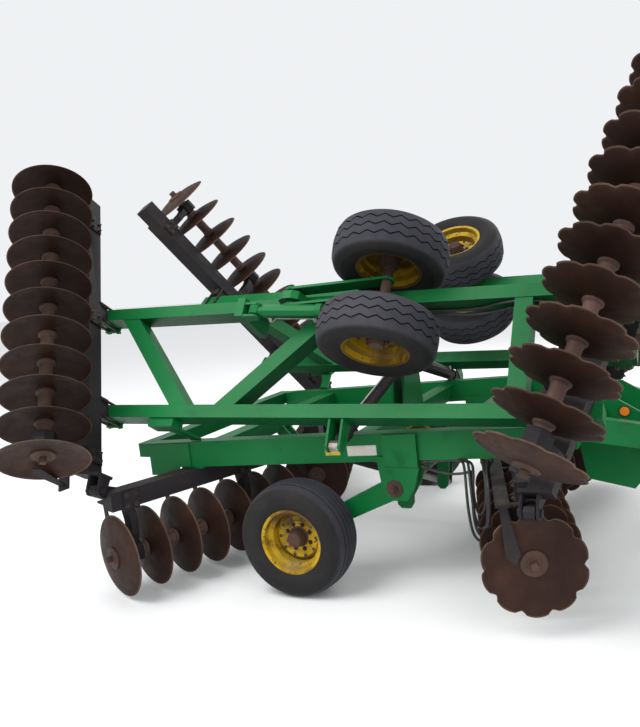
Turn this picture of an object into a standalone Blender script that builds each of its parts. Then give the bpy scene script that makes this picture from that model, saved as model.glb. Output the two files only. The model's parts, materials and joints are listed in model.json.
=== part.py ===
# Folding tandem disc harrow, folded for the road.
# Metres. +X is forward (hitch), +Y is the machine's left, +Z is up.
# It is drawn from the centre wheels' axle, then moved so that its origin is on the ground,
# on the centre line, under the middle of its overall length.
# A wing is drawn spread out level, in its own frame: x, s outward from its hinge, t upward.

import math

import bmesh
import bpy
from mathutils import Matrix, Vector

SEAT = 0.0003            # gap between two pieces that touch
RUN = 0.0004             # radial gap of a shaft in its bore
CLEAR = 0.006            # side gap of a moving piece between its lugs
SINK = 0.004             # how far welded members run into each other

# Discs and gangs
PITCH = 0.224            # between neighbouring discs
FRONT_DISC_R = 0.292
REAR_DISC_R = 0.276
DISH = 0.040             # depth of a disc's dish
DISC_T = 0.010           # thickness of a disc at its hub
NOTCH = 0.030            # depth of a front disc's notches
SPOOL_R = 0.042
WASHER_R = 0.075
WASHER_T = 0.022
HUB_SIDES = {True: 10, False: 8}       # facets of a front gang's spools, and of a rear gang's
FRONT_ANGLE = math.radians(17.4)
REAR_ANGLE = math.radians(20.9)
GANG_TUBE = 0.125        # square tube over each gang
TUBE_RISE = 0.380        # from the disc axis to the middle of a wing's gang tube
BEARING_R = 0.075
BEARING_W = 0.080
HANGER_W = 0.050         # thickness of the curved standards that carry the bearings
HANGER_BOW = 0.085       # how far a standard bows out in front of the gang
CLAMP_W = 0.100          # clamp that holds a standard to the tube
CLAMP_T = 0.014
SCRAPER_V = (-0.190, -0.1125)          # scraper bar, behind the gang tube
SCRAPER_DROP = (0.045, 0.030)          # its underside and top, below the middle of the tube
SCRAPER_LUG = 0.020
BLADE_T = 0.008
BLADE_GAP = 0.008        # between a scraper and the rim of its disc

# Centre section
RAIL_Y = 0.95
RAIL_W = 0.10
RAIL_H = 0.18
RAIL_X0 = -1.27
RAIL_X1 = 1.60
RAIL_Z0 = 0.836          # centre of the rail at its rear end
RAIL_Z1 = 0.986          # and at its front end: the section rides nose-up
PLATE_T = 0.016          # doublers and knee plates on the rails
REAR_CROSS = 0.10        # square tube across the rails' rear ends
DOUBLER_X = (-1.05, -0.92)             # where the rear doubler clears the gang tube, and its front end
DOUBLER_DROP = 0.050     # how far it reaches below the rail
CROSS = 0.12             # cross tubes
CROSS_X = (-0.80, 0.35, 1.02)
FRONT_BEAM_X = (1.55, 1.67)
FRONT_BEAM_H = 0.17
SEAT_BLOCK = 0.09        # half width of the blocks between the rails and the gang tubes

CENTRE_DISCS = 7
REAR_INNER = (-0.6845, 0.3254, 0.310)  # innermost rear disc of the centre section: x, |y|, z
FRONT_INNER = (1.1861, 0.1485, 0.430)
REAR_TUBE_Z = 0.690
FRONT_TUBE_Z = 0.8175
CENTRE_HANGERS = (1, 5)

# Wings
HINGE_Y = 1.610
HINGE_Z = 0.776
FOLD = math.radians(123.7)
REAR_HINGE_X = -1.205
FRONT_HINGE_X = 1.625
HINGE_T = 0.060          # thickness of the centre section's hinge plates
HINGE_PIN_R = 0.022
HINGE_R = 0.040          # round end of the hinge plates
WING_TUBE_S = 0.085      # where the wings' gang tubes start
END_PLATE = 0.020
WING_DISCS = 11
WING_HANGERS = (0, 5, 9)
WING_REAR0 = (-1.308, 0.111)           # innermost wing discs: x, s
WING_FRONT0 = (1.684, 0.124)
WING_DISC_T = -0.396                   # t of the wing's disc axes
BEAM_T = 0.1334                        # underside of the wing beams
BEAM_H = 0.140
BEAM_W = 0.092
BEAM_PAST = 0.11         # how far a wing beam runs past its gang tube
INNER_S = 0.604
OUTER_S = 1.379
BRACES = (((-0.82, INNER_S), (-1.54, OUTER_S)), ((-0.54, INNER_S), (0.24, OUTER_S)),
          ((1.46, INNER_S), (1.46, OUTER_S)))          # x, s at both ends
BRACE_W = 0.11

# Rest that the folded wing's inner beam stands on the rail with
REST_X = (-1.08, -0.88, -0.84)         # rear edge and front edge at the beam, front edge at the rail
REST_FOOT = 0.08         # length of its foot on the rail
REST_S = (0.500, 0.518)
REST_T = (0.150, 0.205, 0.440)         # its flange's low edge, the start of its curved edge, its foot

# Wheels
TYRE_R = 0.378
TYRE_W = 0.280
RIM_R = 0.200
RIM_W = 0.210
HUB_R = 0.062
HUB_HALF = 0.080         # half width of a wheel's hub
SPINDLE_R = 0.030
WHEEL_SIDES = 16         # facets round a tyre, its rim and its spindle
CENTRE_WHEEL_Y = 1.175
ROCK_X = 0.63
ROCK_Z = 0.67
ROCK_R = 0.050
ARM_W = 0.080            # width of the centre wheels' arms
KNEE_X = (0.57, 0.80)    # outer panel of the rockshaft's plates
KNEE_SEAM = 0.817
WING_WHEEL_X = 0.60
WING_WHEEL_T = 0.025
WING_WHEEL_S = (1.053, 1.620)
WING_ROCK_X = -0.10
WING_ROCK_T = 0.075
WING_ROCK_R = 0.038
WING_ARM_T = 0.018       # thickness of the wing wheels' arm plates
CRANK_GAP = 0.007        # between an arm plate and the beam

# Cylinders: their radius, rod radius, barrel's start and length, rod inside the barrel, bore, half an eye
PIN_R = 0.018
LUG_T = 0.016
BOSS = 0.030             # half width of a cylinder's eye
FOLD_X = 0.35
FOLD_ANCHOR = (0.09, 1.32)        # |y|, z of the anchor on the tower
FOLD_LUG = (0.40, 0.20)           # s, t of the eye on the wing
FOLD_SIZES = (0.045, 0.024, 0.115, 0.94, 0.88, 0.90, BOSS)
TOWER_FOOT = 0.20
WING_LIFT_S = (WING_WHEEL_S[0] + TYRE_W / 2 + OUTER_S - BEAM_W / 2 - CRANK_GAP - WING_ARM_T) / 2
WING_ANCHOR = (-0.30, -0.02)      # x, t, beside the arm and the inner wheel
WING_EYE = (0.42, 0.06)
WING_LIFT_SIZES = (0.045, 0.022, 0.065, 0.42, 0.12, 0.30, BOSS)
LIFT_PLATE_X = (-0.43, -0.37)     # plate across the outer beam that carries the anchor
LIFT_PLATE_T = (-0.06, 0.27)
CENTRE_ANCHOR = (-0.68, 0.70)     # x, z
CENTRE_EYE = (0.60, 0.40)
CENTRE_SIZES = (0.055, 0.026, 0.075, 0.80, 0.18, 0.32, BOSS)

# Tongue and jack
HITCH_X = 3.95
HITCH_Z = 0.58
TONGUE_FOOT_Y = 0.62     # where the tongue's bars start on the front beam
TONGUE_MEET = (3.10, 0.07, 0.66)       # where they meet: x, |y|, z
TONGUE_BAR = (0.10, 0.15)
NOSE_X = 3.00            # rear end of the middle bar in front of them
NOSE_BAR = (0.22, 0.15)
TONGUE_PLATE_Y = 0.30
TONGUE_PLATE_T = 0.024
TONGUE_PLATE_TOP = 1.11
TONGUE_TIE_X = (1.78, 1.86)            # upper cross member, through both side plates
TONGUE_TIE_Z = (0.955, 1.035)
CLEVIS_HALF = 0.06
CLEVIS_GAP = 0.030       # half the gap between the clevis plates
CLEVIS_T = 0.025
JACK_X = 2.85
JACK_Y = -0.28
JACK_TUBE = 0.032        # half width of the jack's square leg
JACK_WALL = 0.008
JACK_SLEEVE = (0.42, 0.98)
JACK_BRACKET = (0.62, 0.74)
JACK_LEG_TOP = 0.66
JACK_FOOT = 0.11

PAINT = {
    "green": ((0.022, 0.235, 0.070), 0.45, 0.0),
    "slate": ((0.045, 0.050, 0.065), 0.60, 0.2),
    "disc": ((0.060, 0.028, 0.022), 0.75, 0.5),
    "tyre": ((0.040, 0.040, 0.046), 0.90, 0.0),
    "rim": ((0.560, 0.410, 0.050), 0.50, 0.0),
    "steel": ((0.150, 0.120, 0.100), 0.45, 0.8),
}

SIDES = (("R", -1), ("L", 1))


# Scene housekeeping

def clear_scene():
    for old in list(bpy.data.objects):
        bpy.data.objects.remove(old, do_unlink=True)


def material(name, key):
    colour, rough, metal = PAINT[key]
    mat = bpy.data.materials.new(name + "_" + key)
    mat.use_nodes = True
    shader = mat.node_tree.nodes["Principled BSDF"]
    shader.inputs["Base Color"].default_value = colour + (1.0,)
    shader.inputs["Roughness"].default_value = rough
    shader.inputs["Metallic"].default_value = metal
    return mat


def empty(name, parent=None, location=(0, 0, 0), rotation=(0, 0, 0)):
    holder = bpy.data.objects.new(name, None)
    bpy.context.collection.objects.link(holder)
    holder.parent = parent
    holder.location = location
    holder.rotation_euler = rotation
    return holder


# Solids: each function returns a bmesh

def closed(bm):
    bmesh.ops.recalc_face_normals(bm, faces=bm.faces)
    return bm


def box(lo, hi):
    bm = bmesh.new()
    lo, hi = Vector(lo), Vector(hi)
    centre = (lo + hi) / 2
    size = [abs(b - a) for a, b in zip(lo, hi)]
    bmesh.ops.create_cube(bm, size=1.0, matrix=Matrix.Translation(centre) @ Matrix.Diagonal((*size, 1.0)))
    return closed(bm)


def bar(a, b, width, height, up=(0, 0, 1)):
    """Rectangular bar from a to b, its height along up."""
    a, b, up = Vector(a), Vector(b), Vector(up)
    along = (b - a).normalized()
    side = up.cross(along).normalized()
    top = along.cross(side)
    bm = bmesh.new()
    ends = []
    for end in (a, b):
        corners = [(-1, -1), (1, -1), (1, 1), (-1, 1)]
        ends.append([bm.verts.new(end + side * (width / 2 * i) + top * (height / 2 * j)) for i, j in corners])
    bm.faces.new(ends[0])
    bm.faces.new(ends[1])
    for i in range(4):
        j = (i + 1) % 4
        bm.faces.new((ends[0][i], ends[0][j], ends[1][j], ends[1][i]))
    return closed(bm)


def prism(outline, axis, lo, hi):
    """Flat outline extruded along x, y or z. The outline gives the other two coordinates in order."""
    bm = bmesh.new()

    def place(p, level):
        if axis == "x":
            return (level, p[0], p[1])
        if axis == "y":
            return (p[0], level, p[1])
        return (p[0], p[1], level)

    rings = [[bm.verts.new(place(p, level)) for p in outline] for level in (lo, hi)]
    bm.faces.new(rings[0])
    bm.faces.new(rings[1])
    for i in range(len(outline)):
        j = (i + 1) % len(outline)
        bm.faces.new((rings[0][i], rings[0][j], rings[1][j], rings[1][i]))
    return closed(bm)


def basis(axis):
    """Two unit vectors square to an axis."""
    axis = Vector(axis).normalized()
    helper = Vector((0, 0, 1)) if abs(axis.z) < 0.9 else Vector((1, 0, 0))
    first = helper.cross(axis).normalized()
    return first, axis.cross(first)


def lathe(base, axis, profile, count, phase=0.0):
    """Turned solid. The profile lists (distance along the axis, radius); radius 0 closes an end."""
    base, axis = Vector(base), Vector(axis).normalized()
    first, second = basis(axis)
    bm = bmesh.new()
    rings = []
    for along, radius in profile:
        centre = base + axis * along
        if radius == 0:
            rings.append([bm.verts.new(centre)])
            continue
        turns = [2 * math.pi * (i + phase) / count for i in range(count)]
        spokes = [first * math.cos(a) + second * math.sin(a) for a in turns]
        rings.append([bm.verts.new(centre + spoke * radius) for spoke in spokes])
    pairs = list(zip(rings, rings[1:]))
    if len(rings[0]) > 1:
        pairs.append((rings[-1], rings[0]))
    for low, high in pairs:
        for i in range(count):
            j = (i + 1) % count
            if len(low) == 1:
                bm.faces.new((low[0], high[i], high[j]))
            elif len(high) == 1:
                bm.faces.new((low[i], low[j], high[0]))
            else:
                bm.faces.new((low[i], low[j], high[j], high[i]))
    return closed(bm)


def rod(a, b, radius, count=8, phase=0.0):
    a, b = Vector(a), Vector(b)
    length = (b - a).length
    return lathe(a, b - a, [(0, 0), (0, radius), (length, radius), (length, 0)], count, phase)


def bore(a, b, shaft_radius, count=8):
    """Cutter for a hole round a shaft with as many sides, turned half a side so that the shaft can turn."""
    radius = (shaft_radius + RUN) / math.cos(math.pi / count)
    return rod(a, b, radius, count, 0.5)


def hull(points):
    """Convex outline round a set of flat points."""
    points = sorted(set((round(x, 7), round(y, 7)) for x, y in points))

    def chain(run):
        kept = []
        for p in run:
            while len(kept) > 1:
                (ax, ay), (bx, by) = kept[-2], kept[-1]
                if (bx - ax) * (p[1] - ay) - (by - ay) * (p[0] - ax) > 1e-9:
                    break
                kept.pop()
            kept.append(p)
        return kept[:-1]

    return chain(points) + chain(points[::-1])


def eye_plate(base_low, base_high, centre, radius, segments=8):
    """Outline of a plate: a straight foot, then a round end about a pin's centre."""
    turns = [2 * math.pi * (i + 0.5) / segments for i in range(segments)]
    ring = [(centre[0] + radius * math.cos(a), centre[1] + radius * math.sin(a)) for a in turns]
    return hull([tuple(base_low), tuple(base_high)] + ring)


def mesh_object(name, bm):
    mesh = bpy.data.meshes.new(name)
    bm.to_mesh(mesh)
    bm.free()
    thing = bpy.data.objects.new(name, mesh)
    bpy.context.collection.objects.link(thing)
    return thing


def combine(target, others, operation):
    """Applies one exact Boolean of a whole group of solids to the target's mesh."""
    group = bpy.data.collections.new("group")
    bpy.context.scene.collection.children.link(group)
    for i, bm in enumerate(others):
        mesh = bpy.data.meshes.new("operand")
        bm.to_mesh(mesh)
        bm.free()
        group.objects.link(bpy.data.objects.new("operand_%d" % i, mesh))
    step = target.modifiers.new(operation, "BOOLEAN")
    step.operation = operation
    step.solver = "EXACT"
    step.operand_type = "COLLECTION"
    step.collection = group
    bpy.context.view_layer.update()
    graph = bpy.context.evaluated_depsgraph_get()
    result = bpy.data.meshes.new_from_object(target.evaluated_get(graph))
    target.modifiers.remove(step)
    target.data = result
    for used in list(group.objects):
        bpy.data.objects.remove(used, do_unlink=True)
    bpy.data.collections.remove(group)


def node(name, key, holder, parts, cuts=()):
    """One named piece: the union of its parts less its cuts, in its holder's frame."""
    thing = mesh_object(name, parts[0])
    if len(parts) > 1:
        combine(thing, parts[1:], "UNION")
    if cuts:
        combine(thing, list(cuts), "DIFFERENCE")
    tidy = bmesh.new()
    tidy.from_mesh(thing.data)
    bmesh.ops.remove_doubles(tidy, verts=tidy.verts, dist=1e-6)
    bmesh.ops.dissolve_limit(tidy, angle_limit=1e-3, verts=tidy.verts, edges=tidy.edges)
    bmesh.ops.triangulate(tidy, faces=tidy.faces)
    tidy.to_mesh(thing.data)
    tidy.free()
    thing.data.name = name
    thing.data.shade_smooth()
    thing.data.set_sharp_from_angle(angle=math.radians(35))
    thing.data.materials.clear()
    thing.data.materials.append(material(name, key))
    thing.parent = holder
    return thing


# Gangs

class Gang:
    """A gang's place in its body's frame, from its innermost disc: u outward on the axis, v forward, w up."""

    def __init__(self, side, front, start, count, disc_radius):
        self.side = side
        self.front = front
        self.count = count
        self.radius = disc_radius
        self.angle = FRONT_ANGLE if front else REAR_ANGLE
        lean = math.sin(self.angle) * (1 if front else -1)
        self.u = Vector((lean, side * math.cos(self.angle), 0))
        self.v = Vector((math.cos(self.angle), -side * lean, 0))
        self.w = Vector((0, 0, 1))
        self.origin = Vector((start[0], side * start[1], start[2]))

    def at(self, u, v, w):
        return self.origin + self.u * u + self.v * v + self.w * w

    def placed(self, bm):
        """Moves a solid drawn in u, v, w to its place."""
        turn = Matrix((self.u, self.v, self.w)).transposed().to_4x4()
        bmesh.ops.transform(bm, matrix=Matrix.Translation(self.origin) @ turn, verts=bm.verts)
        return closed(bm)

    def block(self, lo, hi):
        return self.placed(box(lo, hi))

    def slab(self, outline, low, high):
        """Plate across the gang: an outline in v, w between two levels of u."""
        return self.placed(prism(outline, "x", low, high))

    def reach(self, across, v):
        """How far along u the line at v is at a distance across the body from its middle plane."""
        return (across - abs(self.origin.y) - self.side * self.v.y * v) / (self.side * self.u.y)


def disc_gang(gang, name, holder):
    """Discs, spools and end washers as one turned piece, about the holder's own origin."""
    hub_count = HUB_SIDES[gang.front]
    rim_count = 2 * hub_count
    dish = DISH if gang.front else -DISH
    first, second = basis(gang.u)
    bm = bmesh.new()

    def ring(along, radius, count, notch=0.0):
        verts = []
        for i in range(count):
            angle = 2 * math.pi * i / count
            reach = radius - (notch if i % 2 else 0.0)
            spoke = first * math.cos(angle) + second * math.sin(angle)
            verts.append(bm.verts.new(gang.u * along + spoke * reach))
        return verts

    def bridge(a, b):
        count = min(len(a), len(b))
        for i in range(count):
            j = (i + 1) % count
            if len(a) == len(b):
                bm.faces.new((a[i], a[j], b[j], b[i]))
            elif len(a) < len(b):
                bm.faces.new((a[i], b[2 * i + 1], b[2 * i]))
                bm.faces.new((a[i], a[j], b[2 * i + 1]))
                bm.faces.new((a[j], b[(2 * i + 2) % len(b)], b[2 * i + 1]))
            else:
                bm.faces.new((b[i], a[2 * i], a[2 * i + 1]))
                bm.faces.new((b[i], a[2 * i + 1], b[j]))
                bm.faces.new((b[j], a[2 * i + 1], a[(2 * i + 2) % len(a)]))

    last = PITCH * (gang.count - 1)
    outer_end = DISC_T / 2 + WASHER_T
    rings = [ring(-outer_end, WASHER_R, hub_count), ring(-DISC_T, WASHER_R, hub_count)]
    bm.faces.new(rings[0])
    bridge(rings[0], rings[1])
    previous = rings[1]
    for i in range(gang.count):
        along = PITCH * i
        low = ring(along - DISC_T / 2, SPOOL_R, hub_count)
        rim = ring(along + dish, gang.radius, rim_count, NOTCH if gang.front else 0.0)
        high = ring(along + DISC_T / 2, SPOOL_R, hub_count)
        bridge(previous, low)
        bridge(low, rim)
        bridge(rim, high)
        previous = high
    inner = ring(last + DISC_T, WASHER_R, hub_count)
    cap = ring(last + outer_end, WASHER_R, hub_count)
    bridge(previous, inner)
    bridge(inner, cap)
    bm.faces.new(cap)
    node(name, "disc", holder, [closed(bm)])


def standard(gang, tube_w):
    """Outline in v, w of the curved standard that hangs a bearing from the tube."""
    top = tube_w - GANG_TUBE / 2 + SINK
    low = BEARING_R - 0.020
    drop = top - low
    upper, lower = low + drop * 0.65, low + drop * 0.32
    return [(-0.050, top), (0.060, top), (HANGER_BOW, upper), (HANGER_BOW - 0.010, lower),
            (0.040, low), (-0.040, low), (HANGER_BOW - 0.090, lower), (-0.015, upper)]


def scraper(level):
    """Outline in v, w of a scraper: its arm from the bar at a level, and its blade near the disc's hub."""
    back, front = SCRAPER_V
    return [(back + 0.020, level), (front - 0.020, level), (-0.070, 0.065), (-0.100, 0.020), (-0.150, 0.060)]


def gang_beam(gang, name, holder, tube_w, ends, bearings, more=(), more_cuts=()):
    """Square tube, standards with bearings, scraper bar and scrapers, in the body's frame.

    The tube's ends are given as u at its rear side and u at its front side.
    """
    half = GANG_TUBE / 2
    inner, outer = ends
    outline = [(inner[0], -half), (outer[0], -half), (outer[1], half), (inner[1], half)]
    parts = [gang.placed(prism(outline, "z", tube_w - half, tube_w + half))]
    cuts = []
    hub_count = HUB_SIDES[gang.front]
    lean = DISH if gang.front else -DISH
    for index in bearings:
        u = PITCH * (index + 0.5) + lean / 2
        parts.append(gang.slab(standard(gang, tube_w), u - HANGER_W / 2, u + HANGER_W / 2))
        wide = half + CLAMP_T
        parts.append(gang.block((u - CLAMP_W / 2, -wide, tube_w - wide),
                                (u + CLAMP_W / 2, wide, tube_w + half - 0.010)))
        parts.append(rod(gang.at(u - BEARING_W / 2, 0, 0), gang.at(u + BEARING_W / 2, 0, 0),
                         BEARING_R, hub_count))
        cuts.append(bore(gang.at(u - BEARING_W, 0, 0), gang.at(u + BEARING_W, 0, 0), SPOOL_R, hub_count))
    back, front = SCRAPER_V
    low, high = tube_w - SCRAPER_DROP[0], tube_w - SCRAPER_DROP[1]
    offset = lean + (BLADE_GAP if gang.front else -BLADE_GAP - BLADE_T)
    last = PITCH * (gang.count - 1)
    parts.append(gang.block((offset - 0.025, back, low), (last + offset + BLADE_T + 0.025, front, high)))
    for i in range(gang.count):
        near = PITCH * i + offset
        parts.append(gang.slab(scraper(low + SINK), near, near + BLADE_T))
        if i % 3 == 0:
            centre = max(near + BLADE_T / 2, inner[0] + SCRAPER_LUG)
            parts.append(gang.block((centre - SCRAPER_LUG, front - 0.010, low + 0.002),
                                    (centre + SCRAPER_LUG, -half + 0.010, high - 0.002)))
    node(name, "slate", holder, parts + list(more), cuts + list(more_cuts))


def centre_hinge(side, x, foot_y, foot):
    """Hinge plate of the centre section with its pin, and the room that the wing's lugs turn in."""
    outline = eye_plate((side * foot_y, foot[0]), (side * foot_y, foot[1]),
                        (side * HINGE_Y, HINGE_Z), HINGE_R)
    grip = HINGE_T / 2 + CLEAR + LUG_T
    centre = (side * HINGE_Y, HINGE_Z)
    parts = [prism(outline, "x", x - HINGE_T / 2, x + HINGE_T / 2),
             rod((x - grip - 0.012, *centre), (x + grip + 0.012, *centre), HINGE_PIN_R)]
    return parts


def hinge_room(side, x):
    """Cutters that keep the gang tube clear of the wing's lugs."""
    near = HINGE_T / 2 + SEAT
    far = HINGE_T / 2 + CLEAR + LUG_T + CLEAR
    inside, outside = HINGE_PIN_R + 0.0015, HINGE_R + 0.007
    ring = [(near, inside), (near, outside), (far, outside), (far, inside)]
    return [lathe((x, side * HINGE_Y, HINGE_Z), (sign, 0, 0), ring, 12) for sign in (-1, 1)]


def wing_hinge(side, x, plate_x, tube_t):
    """End plate of a wing's gang tube and the two lugs on it."""
    half = GANG_TUBE / 2
    ends = sorted((side * WING_TUBE_S, side * (WING_TUBE_S + END_PLATE)))
    parts = [box((plate_x[0], ends[0], tube_t - half), (plate_x[1], ends[1], tube_t + half))]
    foot = side * (WING_TUBE_S + SINK)
    outline = eye_plate((foot, tube_t - 0.034), (foot, tube_t + 0.056), (0, 0), HINGE_R)
    parts += lug_pair(outline, (x, HINGE_T / 2 + CLEAR))
    grip = HINGE_T / 2 + CLEAR + LUG_T + 0.010
    return parts, bore((x - grip, 0, 0), (x + grip, 0, 0), HINGE_PIN_R)


# Wheels

def wheel(name, holder, centre, axis):
    """Tyre and rim about a spindle, in the holder's frame. The hub's bore runs on the spindle."""
    half, bead = TYRE_W / 2, RIM_W / 2
    shoulder, sidewall = half * 0.90, RIM_R + 0.070
    tread = TYRE_R / math.cos(math.pi / WHEEL_SIDES)
    tyre = [(-bead, RIM_R + SEAT), (-half, sidewall), (-shoulder, tread - 0.030), (-half * 0.66, tread),
            (half * 0.66, tread), (shoulder, tread - 0.030), (half, sidewall), (bead, RIM_R + SEAT)]
    node(name + "_tyre", "tyre", holder, [lathe(centre, axis, tyre, WHEEL_SIDES, 0.5)])
    well, skin = RIM_R - 0.030, 0.010
    hole = (SPINDLE_R + RUN) / math.cos(math.pi / WHEEL_SIDES)
    rim = [(-bead - 0.008, well), (-bead - 0.008, RIM_R), (bead + 0.008, RIM_R), (bead + 0.008, well),
           (0.040, well - skin), (0.030, HUB_R), (HUB_HALF, HUB_R), (HUB_HALF, hole), (-HUB_HALF, hole),
           (-HUB_HALF, HUB_R), (0.010, HUB_R), (0.020, well - skin)]
    node(name + "_rim", "rim", holder, [lathe(centre, axis, rim, WHEEL_SIDES, 0.5)])


# Cylinders

def cylinder(name, key, holder_barrel, holder_rod, anchor, eye, pin_axis, sizes):
    """Barrel with a blind bore and an eye on its anchor pin, and a rod with its eye. Frames: both at rest."""
    radius, rod_radius, start, barrel_length, inserted, depth, boss = sizes
    anchor, eye, pin_axis = Vector(anchor), Vector(eye), Vector(pin_axis).normalized()
    along = (eye - anchor).normalized()
    reach = (eye - anchor).length
    eye_r = radius * 0.95
    neck = min(radius * 0.8, boss)
    hole = (rod_radius + RUN) / math.cos(math.pi / 8)
    end = start + barrel_length
    shell = [(eye_r * 0.6, 0), (eye_r * 0.6, neck), (start, neck), (start, radius),
             (end, radius), (end, hole), (end - depth, hole), (end - depth, 0)]
    parts = [lathe((0, 0, 0), along, shell, 8, 0.5), rod(-pin_axis * boss, pin_axis * boss, eye_r)]
    hole = bore(-pin_axis * boss * 2, pin_axis * boss * 2, PIN_R)
    node(name + "_barrel", key, holder_barrel, parts, [hole])
    begin = end - inserted
    ram = [(begin, 0), (begin, rod_radius), (reach - eye_r * 0.5, rod_radius), (reach - eye_r * 0.5, 0)]
    head = rod(along * reach - pin_axis * boss, along * reach + pin_axis * boss, eye_r * 0.8)
    node(name + "_rod", "steel", holder_rod, [lathe((0, 0, 0), along, ram, 8, 0.0), head])


def wing_point(s, t):
    """|y| and z of a wing's point while it is folded."""
    return (HINGE_Y + s * math.cos(FOLD) - t * math.sin(FOLD),
            HINGE_Z + s * math.sin(FOLD) + t * math.cos(FOLD))


def rail_z(x):
    return RAIL_Z0 + (RAIL_Z1 - RAIL_Z0) * (x - RAIL_X0) / (RAIL_X1 - RAIL_X0)


def lug_pair(outline_of, axis_levels, axis="x"):
    """Two plates with one outline, each side of a middle."""
    middle, inner = axis_levels
    return [prism(outline_of, axis, middle - inner - LUG_T, middle - inner),
            prism(outline_of, axis, middle + inner, middle + inner + LUG_T)]


# Centre section

def main_frame(root):
    parts = []
    cuts = []
    outer_y = RAIL_Y + RAIL_W / 2
    inner_y = RAIL_Y - RAIL_W / 2
    rear_x = REAR_INNER[0] - (RAIL_Y - REAR_INNER[1]) * math.tan(REAR_ANGLE)
    front_x = FRONT_INNER[0] + (RAIL_Y - FRONT_INNER[1]) * math.tan(FRONT_ANGLE)
    for _, side in SIDES:
        y = side * RAIL_Y
        parts.append(bar((RAIL_X0, y, RAIL_Z0), (RAIL_X1, y, RAIL_Z1), RAIL_W, RAIL_H))
        # doubler on the rail's rear end
        turn_x, end_x = DOUBLER_X
        low = RAIL_Z0 - RAIL_H / 2 - DOUBLER_DROP
        under = REAR_TUBE_Z + GANG_TUBE / 2 + 2 * CLEAR
        lift = RAIL_H / 2 - 0.006
        doubler = [(RAIL_X0, low), (turn_x, low + 0.010), (turn_x + 0.030, under), (end_x, under),
                   (end_x, rail_z(end_x) + lift), (RAIL_X0, rail_z(RAIL_X0) + lift)]
        ends = sorted((side * (outer_y - SINK), side * (outer_y + PLATE_T - SINK)))
        parts.append(prism(doubler, "y", ends[0], ends[1]))
        # plates that carry the rockshaft
        drop = ROCK_R + 0.028
        knee = [(ROCK_X - 0.110, rail_z(ROCK_X) - 0.06), (ROCK_X - 0.085, ROCK_Z),
                (ROCK_X - 0.060, ROCK_Z - drop), (ROCK_X + 0.080, ROCK_Z - drop),
                (ROCK_X + 0.140, ROCK_Z + 0.020), (KNEE_X[1], KNEE_SEAM - 0.010),
                (KNEE_X[1], rail_z(ROCK_X) - 0.06)]
        for low, high in ((inner_y - PLATE_T, inner_y + SINK), (outer_y - SINK, outer_y + PLATE_T)):
            ends = sorted((side * low, side * high))
            parts.append(prism(knee, "y", ends[0], ends[1]))
            cuts.append(bore((ROCK_X, side * (low - 0.01), ROCK_Z), (ROCK_X, side * (high + 0.01), ROCK_Z),
                             ROCK_R, 10))
        panel = [(KNEE_X[0], KNEE_SEAM), (KNEE_X[1], KNEE_SEAM), (KNEE_X[1], rail_z(KNEE_X[1]) + lift),
                 (KNEE_X[0], rail_z(KNEE_X[0]) + lift)]
        ends = sorted((side * (outer_y - SINK), side * (outer_y + PLATE_T + 0.010)))
        parts.append(prism(panel, "y", ends[0], ends[1]))
        for x, tube_z in ((rear_x, REAR_TUBE_Z), (front_x, FRONT_TUBE_Z)):
            seat = tube_z + GANG_TUBE / 2 + SEAT
            ends = sorted((side * (inner_y + 0.005), side * (outer_y - 0.005)))
            parts.append(box((x - SEAT_BLOCK, ends[0], seat), (x + SEAT_BLOCK, ends[1], rail_z(x) - 0.06)))
    top = rail_z(RAIL_X0) + RAIL_H / 2
    parts.append(box((RAIL_X0 - REAR_CROSS, -outer_y, top - REAR_CROSS), (RAIL_X0 + SINK, outer_y, top)))
    for x in CROSS_X:
        z = rail_z(x)
        half = CROSS / 2
        parts.append(box((x - half, -RAIL_Y, z - half), (x + half, RAIL_Y, z + half)))
    low_x, high_x = FRONT_BEAM_X
    half = FRONT_BEAM_H / 2
    middle = rail_z(low_x)
    parts.append(box((low_x, -outer_y + 0.005, middle - half), (high_x, outer_y - 0.005, middle + half)))
    # inner seats of the gang tubes
    rear_cross, front_cross = CROSS_X[0], CROSS_X[2]
    inner_rear = REAR_INNER[1] - (rear_cross - REAR_INNER[0]) / math.tan(REAR_ANGLE)
    seat = REAR_TUBE_Z + GANG_TUBE / 2 + SEAT
    for _, side in SIDES:
        ends = sorted((side * (inner_rear - 0.08), side * (inner_rear + 0.08)))
        parts.append(box((rear_cross - 0.05, ends[0], seat),
                         (rear_cross + 0.05, ends[1], rail_z(rear_cross) - 0.05)))
    seat = FRONT_TUBE_Z + GANG_TUBE / 2 + SEAT
    parts.append(box((front_cross - 0.02, -0.16, seat), (FRONT_BEAM_X[0] + 0.02, 0.16, seat + 0.09)))
    # fold tower
    tower_z = rail_z(FOLD_X)
    reach = FOLD_ANCHOR[0] + 0.055
    head = FOLD_ANCHOR[1]
    tower = [(-TOWER_FOOT, tower_z + 0.03), (-reach, head - 0.02), (-reach + 0.03, head + 0.05),
             (reach - 0.03, head + 0.05), (reach, head - 0.02), (TOWER_FOOT, tower_z + 0.03)]
    parts += lug_pair(tower, (FOLD_X, BOSS + CLEAR))
    grip = BOSS + CLEAR + LUG_T
    for _, side in SIDES:
        y = side * FOLD_ANCHOR[0]
        parts.append(rod((FOLD_X - grip - 0.01, y, head), (FOLD_X + grip + 0.01, y, head), PIN_R))
    # anchor of the centre lift cylinder
    foot = rail_z(rear_cross) - 0.02
    lug = eye_plate((rear_cross - 0.05, foot), (rear_cross + 0.055, foot), CENTRE_ANCHOR, 0.05)
    parts += lug_pair(lug, (0.0, BOSS + CLEAR), "y")
    x, z = CENTRE_ANCHOR
    parts.append(rod((x, -grip - 0.01, z), (x, grip + 0.01, z), PIN_R))
    node("main_frame", "green", root, parts, cuts)


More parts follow.
